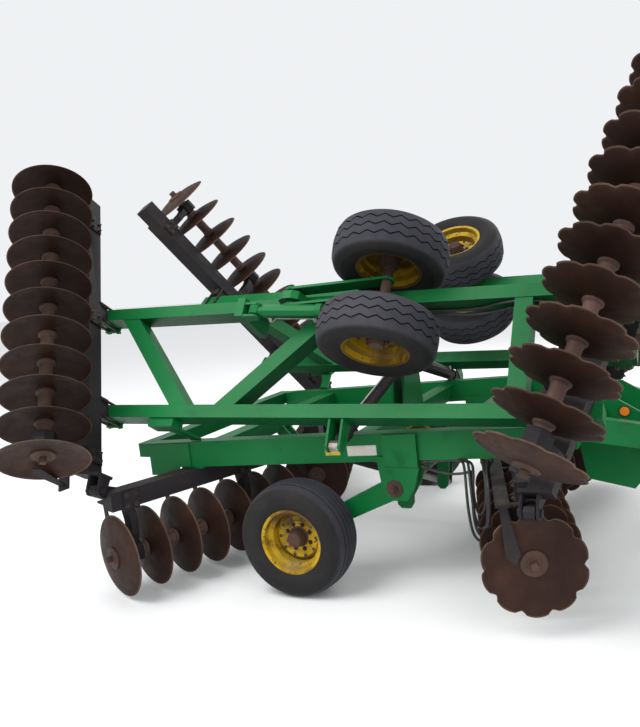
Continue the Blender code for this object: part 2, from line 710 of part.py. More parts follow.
def tongue(root):
    base_x = FRONT_BEAM_X[1] + SEAT
    base_z = rail_z(FRONT_BEAM_X[0])
    meet_x, meet_y, meet_z = TONGUE_MEET
    plate_end = TONGUE_TIE_X[1] + 0.26
    parts = []
    for _, side in SIDES:
        parts.append(bar((base_x + 0.06, side * TONGUE_FOOT_Y, base_z), (meet_x, side * meet_y, meet_z),
                         *TONGUE_BAR))
        ends = sorted((side * (TONGUE_FOOT_Y - 0.12), side * (TONGUE_FOOT_Y + 0.16)))
        parts.append(box((base_x, ends[0], base_z - 0.10), (base_x + 0.07, ends[1], base_z + 0.10)))
        thick = TONGUE_PLATE_T / 2
        ends = sorted((side * (TONGUE_PLATE_Y - thick), side * (TONGUE_PLATE_Y + thick)))
        plate = [(base_x, 0.82), (base_x + 0.05, 0.56), (plate_end - 0.10, 0.50), (plate_end, 0.62),
                 (plate_end, 0.98), (plate_end - 0.22, TONGUE_PLATE_TOP), (base_x, TONGUE_PLATE_TOP)]
        parts.append(prism(plate, "y", ends[0], ends[1]))
    parts.append(box((1.82, -TONGUE_PLATE_Y, 0.56), (1.94, TONGUE_PLATE_Y, 0.68)))
    low, high = TONGUE_TIE_X
    reach = TONGUE_FOOT_Y - 0.06
    parts.append(box((low, -reach, TONGUE_TIE_Z[0]), (high, reach, TONGUE_TIE_Z[1])))
    parts.append(bar((NOSE_X, 0, 0.67), (HITCH_X - 0.10, 0, HITCH_Z), *NOSE_BAR))
    for level in (-1, 1):
        ends = sorted((HITCH_Z + level * CLEVIS_GAP, HITCH_Z + level * (CLEVIS_GAP + CLEVIS_T)))
        parts.append(box((HITCH_X - 0.18, -CLEVIS_HALF, ends[0]), (HITCH_X + 0.05, CLEVIS_HALF, ends[1])))
    parts.append(box((2.30, -0.45, 0.80), (2.40, 0.45, 0.88)))
    # jack sleeve on a bracket
    inner = JACK_TUBE + RUN
    outer = inner + JACK_WALL
    low, high = JACK_SLEEVE
    parts.append(box((JACK_X - outer, JACK_Y - outer, low), (JACK_X + outer, JACK_Y + outer, high)))
    bracket = ((JACK_X - 0.04, JACK_Y + outer - SINK, JACK_BRACKET[0]),
               (JACK_X + 0.04, -0.10, JACK_BRACKET[1]))
    parts.append(box(*bracket))
    cuts = [box((JACK_X - inner, JACK_Y - inner, low - 0.10), (JACK_X + inner, JACK_Y + inner, high - 0.02))]
    node("hitch_tongue", "green", root, parts, cuts)


def jack(holder):
    parts = [box((-JACK_TUBE, -JACK_TUBE, 0.010), (JACK_TUBE, JACK_TUBE, JACK_LEG_TOP)),
             box((-JACK_FOOT, -JACK_FOOT, 0.0), (JACK_FOOT, JACK_FOOT, 0.014))]
    node("jack_leg", "slate", holder, parts)


def centre_lift(holder):
    """Rockshaft, wheel arms, spindles and the cylinder's lever, about the rockshaft's axis."""
    reach = RAIL_Y + RAIL_W / 2 + 0.012
    parts = [rod((0, -reach, 0), (0, reach, 0), ROCK_R, 10)]
    for _, side in SIDES:
        y = side * RAIL_Y
        half = ARM_W / 2
        low = TYRE_R - ROCK_Z
        arm = eye_plate((-ROCK_X - 0.045, low + 0.025), (-ROCK_X + 0.025, low - 0.055), (0, 0), 0.070)
        parts.append(prism(arm, "y", y - half, y + half))
        parts.append(rod((-ROCK_X, y - half, low), (-ROCK_X, y + half, low), 0.058))
        tip = side * (CENTRE_WHEEL_Y + HUB_HALF - 0.001)
        parts.append(rod((-ROCK_X, y, low), (-ROCK_X, tip, low), SPINDLE_R, WHEEL_SIDES, 0.5))
        # stop lug beside the inner plate
        lug = [(-0.055, 0.0), (-0.060, -0.160), (-0.035, -0.185),
               (0.030, -0.185), (0.050, -0.150), (0.055, 0.0)]
        ends = sorted((side * (RAIL_Y - 0.130), side * (RAIL_Y - 0.100)))
        parts.append(prism(lug, "y", ends[0], ends[1]))
    drop = (CENTRE_EYE[0] - ROCK_X, CENTRE_EYE[1] - ROCK_Z)
    lever = eye_plate((-0.045, 0.0), (0.045, 0.0), drop, 0.045)
    parts += lug_pair(lever, (0.0, BOSS + CLEAR), "y")
    node("centre_rockshaft", "green", holder, parts)


# Wings

def wing_frame(tag, side, holder):
    parts = []
    cuts = []
    mid_t = BEAM_T + BEAM_H / 2
    for s in (INNER_S, OUTER_S):
        low, high = (crossing(front, s) for front in (False, True))
        parts.append(bar((low - BEAM_PAST, side * s, mid_t), (high + BEAM_PAST, side * s, mid_t),
                         BEAM_W, BEAM_H))
    for low, high in BRACES:
        ends = [(x, side * s, mid_t) for x, s in (low, high)]
        parts.append(bar(*ends, BRACE_W, BEAM_H - 0.012))
    # lug of the fold cylinder
    foot = INNER_S - BEAM_W / 2 + 0.01
    lug = eye_plate((side * foot, BEAM_T + 0.01), (side * foot, BEAM_T + BEAM_H - 0.01),
                    (side * FOLD_LUG[0], FOLD_LUG[1]), 0.042)
    parts += lug_pair(lug, (FOLD_X, BOSS + CLEAR))
    # bearing of the wing's rockshaft, under the outer beam
    hanger = []
    for sign in (-1, 1):
        edge = [(WING_ROCK_X + sign * 0.10, BEAM_T + 0.01), (WING_ROCK_X + sign * 0.075, WING_ROCK_T - 0.05),
                (WING_ROCK_X + sign * 0.03, WING_ROCK_T - 0.075)]
        hanger += edge if sign < 0 else edge[::-1]
    ends = sorted((side * (OUTER_S - 0.03), side * (OUTER_S + 0.03)))
    parts.append(prism(hanger, "y", ends[0], ends[1]))
    ends = [(WING_ROCK_X, side * (OUTER_S + sign * 0.05), WING_ROCK_T) for sign in (-1, 1)]
    cuts.append(bore(*ends, WING_ROCK_R, 10))
    # plate and lugs of the lift cylinder's anchor
    grip = BOSS + CLEAR + LUG_T
    ends = sorted((side * (WING_LIFT_S - grip), side * (OUTER_S - BEAM_W / 2 + SINK)))
    low, high = LIFT_PLATE_X
    parts.append(box((low, ends[0], LIFT_PLATE_T[0]), (high, ends[1], LIFT_PLATE_T[1])))
    x, t = WING_ANCHOR
    lug = eye_plate((high - SINK, t - 0.035), (high - SINK, t + 0.045), WING_ANCHOR, 0.034)
    parts += lug_pair(lug, (side * WING_LIFT_S, BOSS + CLEAR), "y")
    parts.append(rod((x, side * WING_LIFT_S - grip, t), (x, side * WING_LIFT_S + grip, t), PIN_R))
    # rest on the rail: a flange on the inner beam and a plate with a curved rear edge
    rear, front, toe = REST_X
    flange, start, foot = REST_T
    ends = sorted((side * REST_S[0], side * (INNER_S - BEAM_W / 2 + SINK)))
    parts.append(box((rear, ends[0], flange), (front, ends[1], BEAM_T + BEAM_H - 0.012)))
    wide = toe - REST_FOOT - rear
    curve = [math.radians(15 * i) for i in range(7)]
    edge = [(rear + wide * math.sin(a), foot - (foot - start) * math.cos(a)) for a in curve]
    ends = sorted(side * s for s in REST_S)
    parts.append(prism(edge + [(toe, foot), (front, start)], "y", ends[0], ends[1]))
    rail = bar((RAIL_X0, side * RAIL_Y, RAIL_Z0), (RAIL_X1, side * RAIL_Y, RAIL_Z1),
               RAIL_W + 2 * SEAT, RAIL_H + 2 * SEAT)
    place = Matrix.Translation((0, side * HINGE_Y, HINGE_Z)) @ Matrix.Rotation(side * FOLD, 4, "X")
    bmesh.ops.transform(rail, matrix=place.inverted(), verts=rail.verts)
    cuts.append(closed(rail))
    node("wing_frame_" + tag, "green", holder, parts, cuts)


def crossing(front, s):
    """x of a wing's gang at a distance s from the hinge."""
    start = WING_FRONT0 if front else WING_REAR0
    slope = math.tan(FRONT_ANGLE) if front else -math.tan(REAR_ANGLE)
    return start[0] + slope * (s - start[1])


def wing_beam(tag, side, front, holder):
    """A wing's gang tube with its hinge lugs and the pads that the two beams stand on."""
    start = (WING_FRONT0 if front else WING_REAR0) + (WING_DISC_T,)
    gang = Gang(side, front, start, WING_DISCS, FRONT_DISC_R if front else REAR_DISC_R)
    place = "front" if front else "rear"
    spin = empty("wing_%s_gang_%s" % (place, tag), holder, gang.origin)
    disc_gang(gang, "wing_%s_discs_%s" % (place, tag), spin)
    half = GANG_TUBE / 2
    tube_t = WING_DISC_T + TUBE_RISE
    x = FRONT_HINGE_X if front else REAR_HINGE_X
    tube_x = crossing(front, WING_TUBE_S + END_PLATE / 2)
    wide = half / math.cos(gang.angle) + 0.004
    grip = HINGE_T / 2 + CLEAR + LUG_T + 0.008
    plate_x = (min(tube_x - wide, x - grip), max(tube_x + wide, x + grip))
    parts, hole = wing_hinge(side, x, plate_x, tube_t)
    for s in (INNER_S, OUTER_S):
        u = (s - start[1]) / math.cos(gang.angle)
        parts.append(gang.block((u - 0.070, -0.050, TUBE_RISE + half - SINK),
                                (u + 0.070, 0.050, BEAM_T - SEAT - WING_DISC_T)))
    first = WING_TUBE_S + SINK
    inner = [gang.reach(first, v) for v in (-half, half)]
    outer = PITCH * (WING_DISCS - 1) + 0.14
    gang_beam(gang, "wing_%s_beam_%s" % (place, tag), holder, TUBE_RISE, (inner, (outer, outer)),
              WING_HANGERS, parts, [hole])


def wing_lift(tag, side, holder):
    """Rockshaft under the outer beam, with arm plates either side of the beam, and the wheels' axle."""
    near = BEAM_W / 2 + CRANK_GAP
    far = near + WING_ARM_T
    parts = [rod((0, side * (OUTER_S - far + 0.003), 0), (0, side * (OUTER_S + far - 0.003), 0),
                 WING_ROCK_R, 10)]
    axle = (WING_WHEEL_X - WING_ROCK_X, WING_WHEEL_T - WING_ROCK_T)
    eye = (WING_EYE[0] - WING_ROCK_X, WING_EYE[1] - WING_ROCK_T)
    for sign in (-1, 1):
        ends = sorted((side * OUTER_S + sign * near, side * OUTER_S + sign * far))
        arm = eye_plate((-0.02, -0.05), (0.0, 0.05), axle, 0.050)
        parts.append(prism(arm, "y", ends[0], ends[1]))
        parts.append(rod((0, ends[0], 0), (0, ends[1], 0), 0.058))
    # ear and boss beside the lift cylinder's eye
    ends = sorted((side * (OUTER_S - near), side * (OUTER_S - far)))
    ear = eye_plate((eye[0] - 0.090, -0.030), (eye[0] + 0.090, -0.040), eye, 0.046)
    parts.append(prism(ear, "y", ends[0], ends[1]))
    parts.append(rod((eye[0], side * (OUTER_S - far + SINK), eye[1]),
                     (eye[0], side * (WING_LIFT_S + BOSS + SEAT), eye[1]), 0.034))
    reach = HUB_HALF - 0.001
    ends = sorted((side * (WING_WHEEL_S[0] - reach), side * (WING_WHEEL_S[1] + reach)))
    parts.append(rod((axle[0], ends[0], axle[1]), (axle[0], ends[1], axle[1]), SPINDLE_R, WHEEL_SIDES, 0.5))
    node("wing_rockshaft_" + tag, "green", holder, parts)


def recentre(root):
    """Puts the origin under the middle of the overall length."""
    bpy.context.view_layer.update()
    pieces = [thing for thing in bpy.data.objects if thing.type == "MESH"]
    reach = [(thing.matrix_world @ v.co).x for thing in pieces for v in thing.data.vertices]
    root.location.x = -(min(reach) + max(reach)) / 2


def centre_beam(tag, side, front, root):
    """A gang of the centre section: its discs, and its tube with the hinge plate of the wing."""
    place = "front" if front else "rear"
    start = FRONT_INNER if front else REAR_INNER
    tube_z = FRONT_TUBE_Z if front else REAR_TUBE_Z
    gang = Gang(side, front, start, CENTRE_DISCS, FRONT_DISC_R if front else REAR_DISC_R)
    spin = empty("centre_%s_gang_%s" % (place, tag), root, gang.origin)
    disc_gang(gang, "centre_%s_discs_%s" % (place, tag), spin)
    inner = -0.02 if front else -0.06
    outer = PITCH * (CENTRE_DISCS - 1) - 0.004
    half = GANG_TUBE / 2
    x = FRONT_HINGE_X if front else REAR_HINGE_X
    foot_y = HINGE_Y - (0.25 if front else 0.17)
    foot = (tube_z - half + 0.006, min(tube_z + half - 0.010, HINGE_Z + HINGE_R / 2))
    parts = centre_hinge(side, x, foot_y, foot)
    gang_beam(gang, "centre_%s_beam_%s" % (place, tag), root, tube_z - start[2],
              ((inner, inner), (outer, outer)), CENTRE_HANGERS, parts, hinge_room(side, x))


def build():
    clear_scene()
    root = empty("frame")
    main_frame(root)
    tongue(root)
    jack(empty("jack", root, (JACK_X, JACK_Y, 0)))
    rock = empty("centre_lift", root, (ROCK_X, 0, ROCK_Z))
    centre_lift(rock)
    anchor = (CENTRE_ANCHOR[0], 0, CENTRE_ANCHOR[1])
    cylinder("centre_lift", "slate", empty("centre_lift_barrel_frame", root, anchor),
             empty("centre_lift_rod_frame", root, anchor),
             anchor, (CENTRE_EYE[0], 0, CENTRE_EYE[1]), (0, 1, 0), CENTRE_SIZES)
    for tag, side in SIDES:
        spin = empty("centre_wheel_frame_" + tag, root, (0, side * CENTRE_WHEEL_Y, TYRE_R))
        wheel("centre_wheel_" + tag, spin, (0, 0, 0), (0, side, 0))
        wing = empty("wing_" + tag, root, (0, side * HINGE_Y, HINGE_Z), (side * FOLD, 0, 0))
        wing_frame(tag, side, wing)
        for front in (True, False):
            centre_beam(tag, side, front, root)
            wing_beam(tag, side, front, wing)
        lift = empty("wing_lift_" + tag, wing, (WING_ROCK_X, 0, WING_ROCK_T))
        wing_lift(tag, side, lift)
        for i, s in enumerate(WING_WHEEL_S):
            spin = empty("wing_wheel_frame_%s_%d" % (tag, i + 1), wing,
                         (WING_WHEEL_X, side * s, WING_WHEEL_T))
            wheel("wing_wheel_%s_%d" % (tag, i + 1), spin, (0, 0, 0), (0, side * (-1 if i == 0 else 1), 0))
        eye_y, eye_z = wing_point(*FOLD_LUG)
        anchor = (FOLD_X, side * FOLD_ANCHOR[0], FOLD_ANCHOR[1])
        cylinder("fold_" + tag, "slate", empty("fold_barrel_frame_" + tag, root, anchor),
                 empty("fold_rod_frame_" + tag, root, anchor),
                 anchor, (FOLD_X, side * eye_y, eye_z), (1, 0, 0), FOLD_SIZES)
        anchor = (WING_ANCHOR[0], side * WING_LIFT_S, WING_ANCHOR[1])
        cylinder("wing_lift_" + tag, "green", empty("wing_barrel_frame_" + tag, wing, anchor),
                 empty("wing_rod_frame_" + tag, wing, anchor),
                 anchor, (WING_EYE[0], side * WING_LIFT_S, WING_EYE[1]), (0, 1, 0), WING_LIFT_SIZES)
    recentre(root)


build()
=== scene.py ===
# Looks of the folding tandem disc harrow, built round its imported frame.
# Metres, in the frame's own axes: +X forward to the hitch, +Y the machine's left, +Z up.

import json
import math
import random

import bmesh
import bpy
from mathutils import Matrix, Vector


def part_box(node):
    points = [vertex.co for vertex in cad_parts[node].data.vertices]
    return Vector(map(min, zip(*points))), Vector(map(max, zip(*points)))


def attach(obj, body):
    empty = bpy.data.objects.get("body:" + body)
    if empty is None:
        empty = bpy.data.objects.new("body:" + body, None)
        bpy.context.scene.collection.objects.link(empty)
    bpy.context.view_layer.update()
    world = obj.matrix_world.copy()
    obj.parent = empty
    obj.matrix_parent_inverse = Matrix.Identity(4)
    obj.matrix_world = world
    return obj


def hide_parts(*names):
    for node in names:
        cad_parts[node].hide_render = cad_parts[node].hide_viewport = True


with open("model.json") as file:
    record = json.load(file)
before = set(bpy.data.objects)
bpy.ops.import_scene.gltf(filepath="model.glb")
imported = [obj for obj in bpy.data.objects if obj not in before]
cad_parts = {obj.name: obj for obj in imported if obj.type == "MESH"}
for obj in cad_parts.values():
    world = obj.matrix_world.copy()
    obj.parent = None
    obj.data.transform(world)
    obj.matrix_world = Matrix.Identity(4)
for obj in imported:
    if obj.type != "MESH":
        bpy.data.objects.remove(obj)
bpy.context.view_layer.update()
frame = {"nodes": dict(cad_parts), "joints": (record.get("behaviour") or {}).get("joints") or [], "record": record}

NODES = frame["nodes"]
JOINTS = {joint["name"]: joint for joint in frame["joints"]}
SIDES = (("R", -1), ("L", 1))

# Where things are, read from the joints
AXLE_X = JOINTS["centre_wheel_R"]["pos_m"][0]      # the centre wheels' axle
HINGE = Vector(JOINTS["fold_L"]["pos_m"])          # left fold axis
FOLD = math.radians(JOINTS["fold_L"]["range_deg"][1])

# Driving sizes
PITCH = 0.224              # between neighbouring discs
CENTRE_DISCS = 7
WING_DISCS = 11
FRONT_DISC_R = 0.292
REAR_DISC_R = 0.276
DISH = 0.040
PLATE_T = 0.0065           # thickness of a disc
SPOOL_R = 0.042
SPOOL_FLANGE = 0.016       # how far a spool flares at its ends
WASHER_R = 0.075
WASHER_TOP = 0.020         # height of an end washer
SHAFT_SQUARE = (0.040, 0.040, 0.036)
SHAFT_NUT = 0.026
NOTCHES = 10
NOTCH_DEPTH = 0.030
LOBE_DEPTH = 0.009         # how far a lobe's corners fall back between two notches
LOBE_START = 0.6           # share of the radius where the lobes begin
NOTCH_SHARE = 0.21         # half of a notch's width, as a share of the pitch round the rim
FLAT_SEAT_R = 0.085        # the flat middle of a disc
DISH_POWER = 1.7           # how the dish deepens outward from it
GROUND_BAND = 0.008        # bright band round the rim
EDGE_HALF = 0.0008         # half of the thickness left at the rim
DISC_RINGS = 9
NOTCHED_SEGMENTS, PLAIN_SEGMENTS = 120, 96

TYRE_R = 0.378
TYRE_W = 0.280
RIM_R = 0.200
RIM_W = 0.210
RIM_SKIN = 0.006
WELL_DEPTH = 0.030         # drop centre of a rim
TREAD_TURNS = 24           # zigzags round a wing tyre
TREAD_SAMPLES = 8
GROOVE_HALF = 0.0055
GROOVE_DEPTH = 0.011
# across a groove: place in half widths, depth, painted shade at the groove's bottom
GROOVE_SHAPE = ((-1.0, 0.0, 0.0), (-0.6, GROOVE_DEPTH, 1.0), (0.6, GROOVE_DEPTH, 1.0), (1.0, 0.0, 0.0))
ZIGZAG = 0.0115            # sideways reach of a zigzag
WING_GROOVES = (-0.058, 0.0, 0.058)
RIB_GROOVES = (-0.075, -0.038, 0.0, 0.038, 0.075)      # straight grooves of a centre tyre
CROWN = 0.020              # how much lower the tread is at its shoulders
SHOULDER = 0.030
STUDS, STUD_CIRCLE_R, STUD_NUT = 8, 0.086, 0.020
HAND_HOLES, HOLE_CIRCLE_R = 10, 0.128
VALVE_R = 0.004

# Gang tubes and what hangs from them
TUBE_HALF = 0.0625
# from a gang's axis to its tube, by section and whether the gang is a front one
TUBE_RISE = {("centre", True): 0.3875, ("centre", False): 0.380,
             ("wing", True): 0.380, ("wing", False): 0.380}
HANGERS = {"centre": (1, 5), "wing": (0, 5, 9)}        # spools that carry a bearing
CLAMP_T = 0.014
CLAMP_BOLT, CLAMP_BOLTS_U, CLAMP_BOLTS_W = 0.022, (-0.030, 0.030), (-0.042, 0.028)
BEARING_HALF = 0.040
BEARING_R = 0.075
BEARING_BOLTS, BEARING_CIRCLE_R, BEARING_BOLT = 4, 0.066, 0.012

# Wings: s is counted outward from the hinge and t up from the underside
INNER_S, OUTER_S = 0.604, 1.379                        # the two long beams
BEAM_T, BEAM_H, BEAM_W = 0.1334, 0.140, 0.092
HINGE_TO_DISC = {True: 0.124, False: 0.111}            # s of the innermost disc, front and rear
STRAP_REACH = 0.045        # from a strap's middle to its studs, along the beam
STRAP_OFF = 0.013          # from the beam's side to the studs
STRAP_T = 0.014
STUD_R = 0.0095
STUD_PAST = 0.100          # how far the studs reach below the beam
STRAP_NUT = 0.026
WING_WHEEL_S = (1.053, 1.620)
WING_WHEEL_X, WING_WHEEL_T = 0.60, 0.025
HUB_REACH = 0.088          # from a wheel's middle to the sleeve between the two
WING_LIFT_S = 1.2505
WING_ANCHOR, WING_EYE = (-0.30, -0.02), (0.42, 0.06)   # x and t
WING_LIFT_SIZES = (0.045, 0.065, 0.42)                 # radius, start and length of the barrel

# Centre section
RAIL_Y, RAIL_HALF_W = 0.95, 0.05
RAIL_X0, RAIL_Z0, RAIL_SLOPE = -1.27, 0.836, 0.150 / 2.87
FOLD_X = 0.35
FOLD_ANCHOR, FOLD_LUG = (0.09, 1.32), (0.40, 0.20)     # |y| and z, s and t
FOLD_SIZES = (0.045, 0.115, 0.94)                      # radius, start and length of the barrel
ROCK_END = 1.012                                       # |y| of the centre lift's shaft end
REFLECTOR = (1.97, 0.312, 1.015)                       # x, |y| and z

HOSE_R = 0.0085
HOSE_SIDES = 12
LINE_R = 0.0065            # steel line on a cylinder
CURVE_STEPS = 6            # pieces of a hose between two of its points
SHARP_EDGE, TYRE_SHARP_EDGE = 32.0, 38.0               # degrees
SOFT_EDGE = 0.005          # bevel on the solids that no piece replaces
WELD_GAP = 0.00005

# Floor, sky and dirt
FLOOR_SIZE = 90.0
FLOOR_COLOUR = (0.86, 0.86, 0.86)
SKY_COLOUR, SKY_STRENGTH = (0.96, 0.98, 1.0), 0.90
RUST = (0.095, 0.036, 0.018)
DUST = (0.240, 0.205, 0.150)
SOIL = (0.130, 0.075, 0.045)
DULL = 0.14                # specular level of old paint and rust
FINE_BUMP = 0.0010

# Camera, as solved from the photograph
SENSOR_W = 36.0                  # mm
CAM_FROM_AXLE = Vector((2.4630, -5.1567, 2.0818))
CAM_YAW, CAM_PITCH, CAM_ROLL = math.radians(22.1367), math.radians(-8.8164), math.radians(-4.6560)
CAM_FOCAL_PX = 746.12
PICTURE_W, PICTURE_H = 640, 727
CENTRE_PX = (407.45, 375.89)     # principal point

rng = random.Random(7)


# Camera, floor and light

def make_camera():
    level = math.cos(CAM_PITCH)
    forward = Vector((-math.sin(CAM_YAW) * level, math.cos(CAM_YAW) * level, math.sin(CAM_PITCH)))
    right = Vector((math.cos(CAM_YAW), math.sin(CAM_YAW), 0))
    up = right.cross(forward)
    side = right * math.cos(CAM_ROLL) + up * math.sin(CAM_ROLL)
    top = up * math.cos(CAM_ROLL) - right * math.sin(CAM_ROLL)
    data = bpy.data.cameras.new("camera")
    camera = bpy.data.objects.new("camera", data)
    bpy.context.scene.collection.objects.link(camera)
    turn = Matrix((side, top, -forward)).transposed().to_4x4()
    camera.matrix_world = Matrix.Translation(CAM_FROM_AXLE + Vector((AXLE_X, 0, 0))) @ turn
    data.sensor_width = SENSOR_W
    data.lens = data.sensor_width * CAM_FOCAL_PX / PICTURE_H
    data.shift_x = -(CENTRE_PX[0] - PICTURE_W / 2) / PICTURE_H
    data.shift_y = (CENTRE_PX[1] - PICTURE_H / 2) / PICTURE_H
    data.clip_end = 200
    bpy.context.scene.camera = camera


def make_stage():
    mesh = bpy.data.meshes.new("floor")
    half = FLOOR_SIZE / 2
    corners = [(-half, -half, 0), (half, -half, 0), (half, half, 0), (-half, half, 0)]
    mesh.from_pydata(corners, [], [(0, 1, 2, 3)])
    floor = bpy.data.objects.new("floor", mesh)
    bpy.context.scene.collection.objects.link(floor)
    mat = bpy.data.materials.new("floor")
    mat.use_nodes = True
    shader = mat.node_tree.nodes["Principled BSDF"]
    shader.inputs["Base Color"].default_value = (*FLOOR_COLOUR, 1.0)
    shader.inputs["Roughness"].default_value = 0.95
    shader.inputs["Specular IOR Level"].default_value = 0.2
    mesh.materials.append(mat)
    world = bpy.data.worlds.new("sky")
    world.use_nodes = True
    world.node_tree.nodes["Background"].inputs["Color"].default_value = (*SKY_COLOUR, 1.0)
    world.node_tree.nodes["Background"].inputs["Strength"].default_value = SKY_STRENGTH
    bpy.context.scene.world = world
    bpy.context.scene.view_settings.view_transform = "Standard"
    # name, place, aimed at, size, watts
    lamps = (
        ("key", (-4.5, -6.0, 9.0), (0.0, 0.0, 1.2), 7.0, 900),
        ("fill", (7.0, -5.0, 5.0), (0.0, 0.0, 1.2), 6.0, 260),
        ("back", (1.0, 8.0, 7.0), (0.0, 0.0, 1.5), 7.0, 420),
    )
    for name, place, target, size, watts in lamps:
        data = bpy.data.lights.new(name, "AREA")
        data.size = size
        data.energy = watts
        lamp = bpy.data.objects.new(name, data)
        bpy.context.scene.collection.objects.link(lamp)
        lamp.location = place
        lamp.rotation_mode = "QUATERNION"
        lamp.rotation_quaternion = (Vector(target) - Vector(place)).to_track_quat("-Z", "Y")


# Materials

class Nodes:
    """Shorthand for one material's node tree."""

    def __init__(self, name):
        self.material = bpy.data.materials.new(name)
        self.material.use_nodes = True
        self.tree = self.material.node_tree
        self.shader = self.tree.nodes["Principled BSDF"]
        self.where = self.add("ShaderNodeTexCoord").outputs["Object"]

    def add(self, kind, **values):
        node = self.tree.nodes.new(kind)
        for key, value in values.items():
            if key.startswith("in_"):
                node.inputs[key[3:].replace("_", " ")].default_value = value
            else:
                setattr(node, key, value)
        return node

    def link(self, out, into):
        self.tree.links.new(out, into)

    def noise(self, scale, detail=6.0, rough=0.6, stretch=None, distortion=0.0):
        node = self.add("ShaderNodeTexNoise", in_Scale=scale, in_Detail=detail, in_Roughness=rough,
                        in_Distortion=distortion)
        source = self.where
        if stretch:
            move = self.add("ShaderNodeMapping")
            move.inputs["Scale"].default_value = stretch
            self.link(self.where, move.inputs["Vector"])
            source = move.outputs["Vector"]
        self.link(source, node.inputs["Vector"])
        return node.outputs["Fac"]

    def ramp(self, value, *stops):
        node = self.add("ShaderNodeValToRGB")
        self.link(value, node.inputs["Fac"])
        elements = node.color_ramp.elements
        while len(elements) < len(stops):
            elements.new(0.5)
        for element, (place, colour) in zip(elements, stops):
            element.position = place
            element.color = (*colour, 1.0)
        return node.outputs["Color"]

    def mask(self, value, low, high):
        """0 below low, 1 above high."""
        node = self.add("ShaderNodeMapRange", in_From_Min=low, in_From_Max=high,
                        interpolation_type="SMOOTHSTEP")
        self.link(value, node.inputs["Value"])
        return node.outputs["Result"]

    def maths(self, operation, a, b):
        node = self.add("ShaderNodeMath", operation=operation)
        for socket, value in zip(node.inputs, (a, b)):
            if isinstance(value, (int, float)):
                socket.default_value = value
            else:
                self.link(value, socket)
        return node.outputs[0]

    def mix(self, factor, a, b):
        node = self.add("ShaderNodeMix", data_type="RGBA")
        self.link(factor, node.inputs["Factor"])
        for socket, value in ((node.inputs[6], a), (node.inputs[7], b)):
            if isinstance(value, tuple):
                socket.default_value = (*value, 1.0)
            else:
                self.link(value, socket)
        return node.outputs[2]

    def up(self):
        """How much a surface faces up, in its own rest place."""
        split = self.add("ShaderNodeSeparateXYZ")
        self.link(self.tree.nodes["Texture Coordinate"].outputs["Normal"], split.inputs["Vector"])
        return split.outputs["Z"]

    def bump(self, height, strength, distance):
        node = self.add("ShaderNodeBump", in_Strength=strength, in_Distance=distance)
        self.link(height, node.inputs["Height"])
        self.link(node.outputs["Normal"], self.shader.inputs["Normal"])

    def colour(self, out):
        self.link(out, self.shader.inputs["Base Color"])

    def rough(self, out):
        self.link(out, self.shader.inputs["Roughness"])


def painted(name, fresh, faded, dark, chips=0.72, dust=0.30, gloss=0.34, grime=0.45, dirty=0.56, shade=0.65):
    """Outdoor machine paint: faded and dusty on top, darkened below as painted shade, grimy in patches, chipped to
    rust.
    """
    n = Nodes(name)
    broad = n.noise(0.9, 3.0, 0.5)
    patch = n.noise(4.2, 8.0, 0.62, distortion=0.4)
    fine = n.noise(60.0, 6.0, 0.65)
    base = n.mix(n.maths("MULTIPLY", n.mask(broad, 0.42, 0.70), 0.6), fresh, faded)
    base = n.mix(n.maths("MULTIPLY", n.mask(patch, dirty, dirty + 0.20), grime), base, dark)
    top = n.mask(n.up(), 0.35, 0.95)
    base = n.mix(n.maths("MULTIPLY", top, 0.30), base, faded)
    # faces that point down at rest are mixed towards the dark tone: painted shade under the parts, its strength
    # set by shade
    underside_shade = n.mask(n.maths("MULTIPLY", n.up(), -1.0), 0.05, 0.55)
    base = n.mix(n.maths("MULTIPLY", underside_shade, shade), base, dark)
    soil = n.mask(n.noise(1.7, 6.0, 0.6, stretch=(0.6, 1.0, 1.0)), 0.54, 0.74)
    base = n.mix(n.maths("MULTIPLY", soil, dust * 0.7), base, SOIL)
    dusty = n.maths("MULTIPLY", n.maths("MULTIPLY", top, n.mask(n.noise(9.0), 0.35, 0.75)), dust)
    base = n.mix(dusty, base, DUST)
    streak = n.mask(n.noise(3.0, 7.0, 0.7, stretch=(6.0, 6.0, 0.8)), 0.68, 0.80)
    base = n.mix(n.maths("MULTIPLY", streak, 0.12), base, RUST)
    chip = n.mask(n.noise(34.0, 10.0, 0.75), chips, chips + 0.03)
    base = n.mix(chip, base, RUST)
    n.colour(base)
    n.rough(n.maths("ADD", n.maths("MULTIPLY", n.mask(fine, 0.3, 0.8), 0.20), gloss))
    n.shader.inputs["Specular IOR Level"].default_value = DULL
    n.bump(n.maths("ADD", n.maths("MULTIPLY", fine, 0.5), n.maths("MULTIPLY", chip, -1.0)), 0.22, FINE_BUMP)
    return n.material


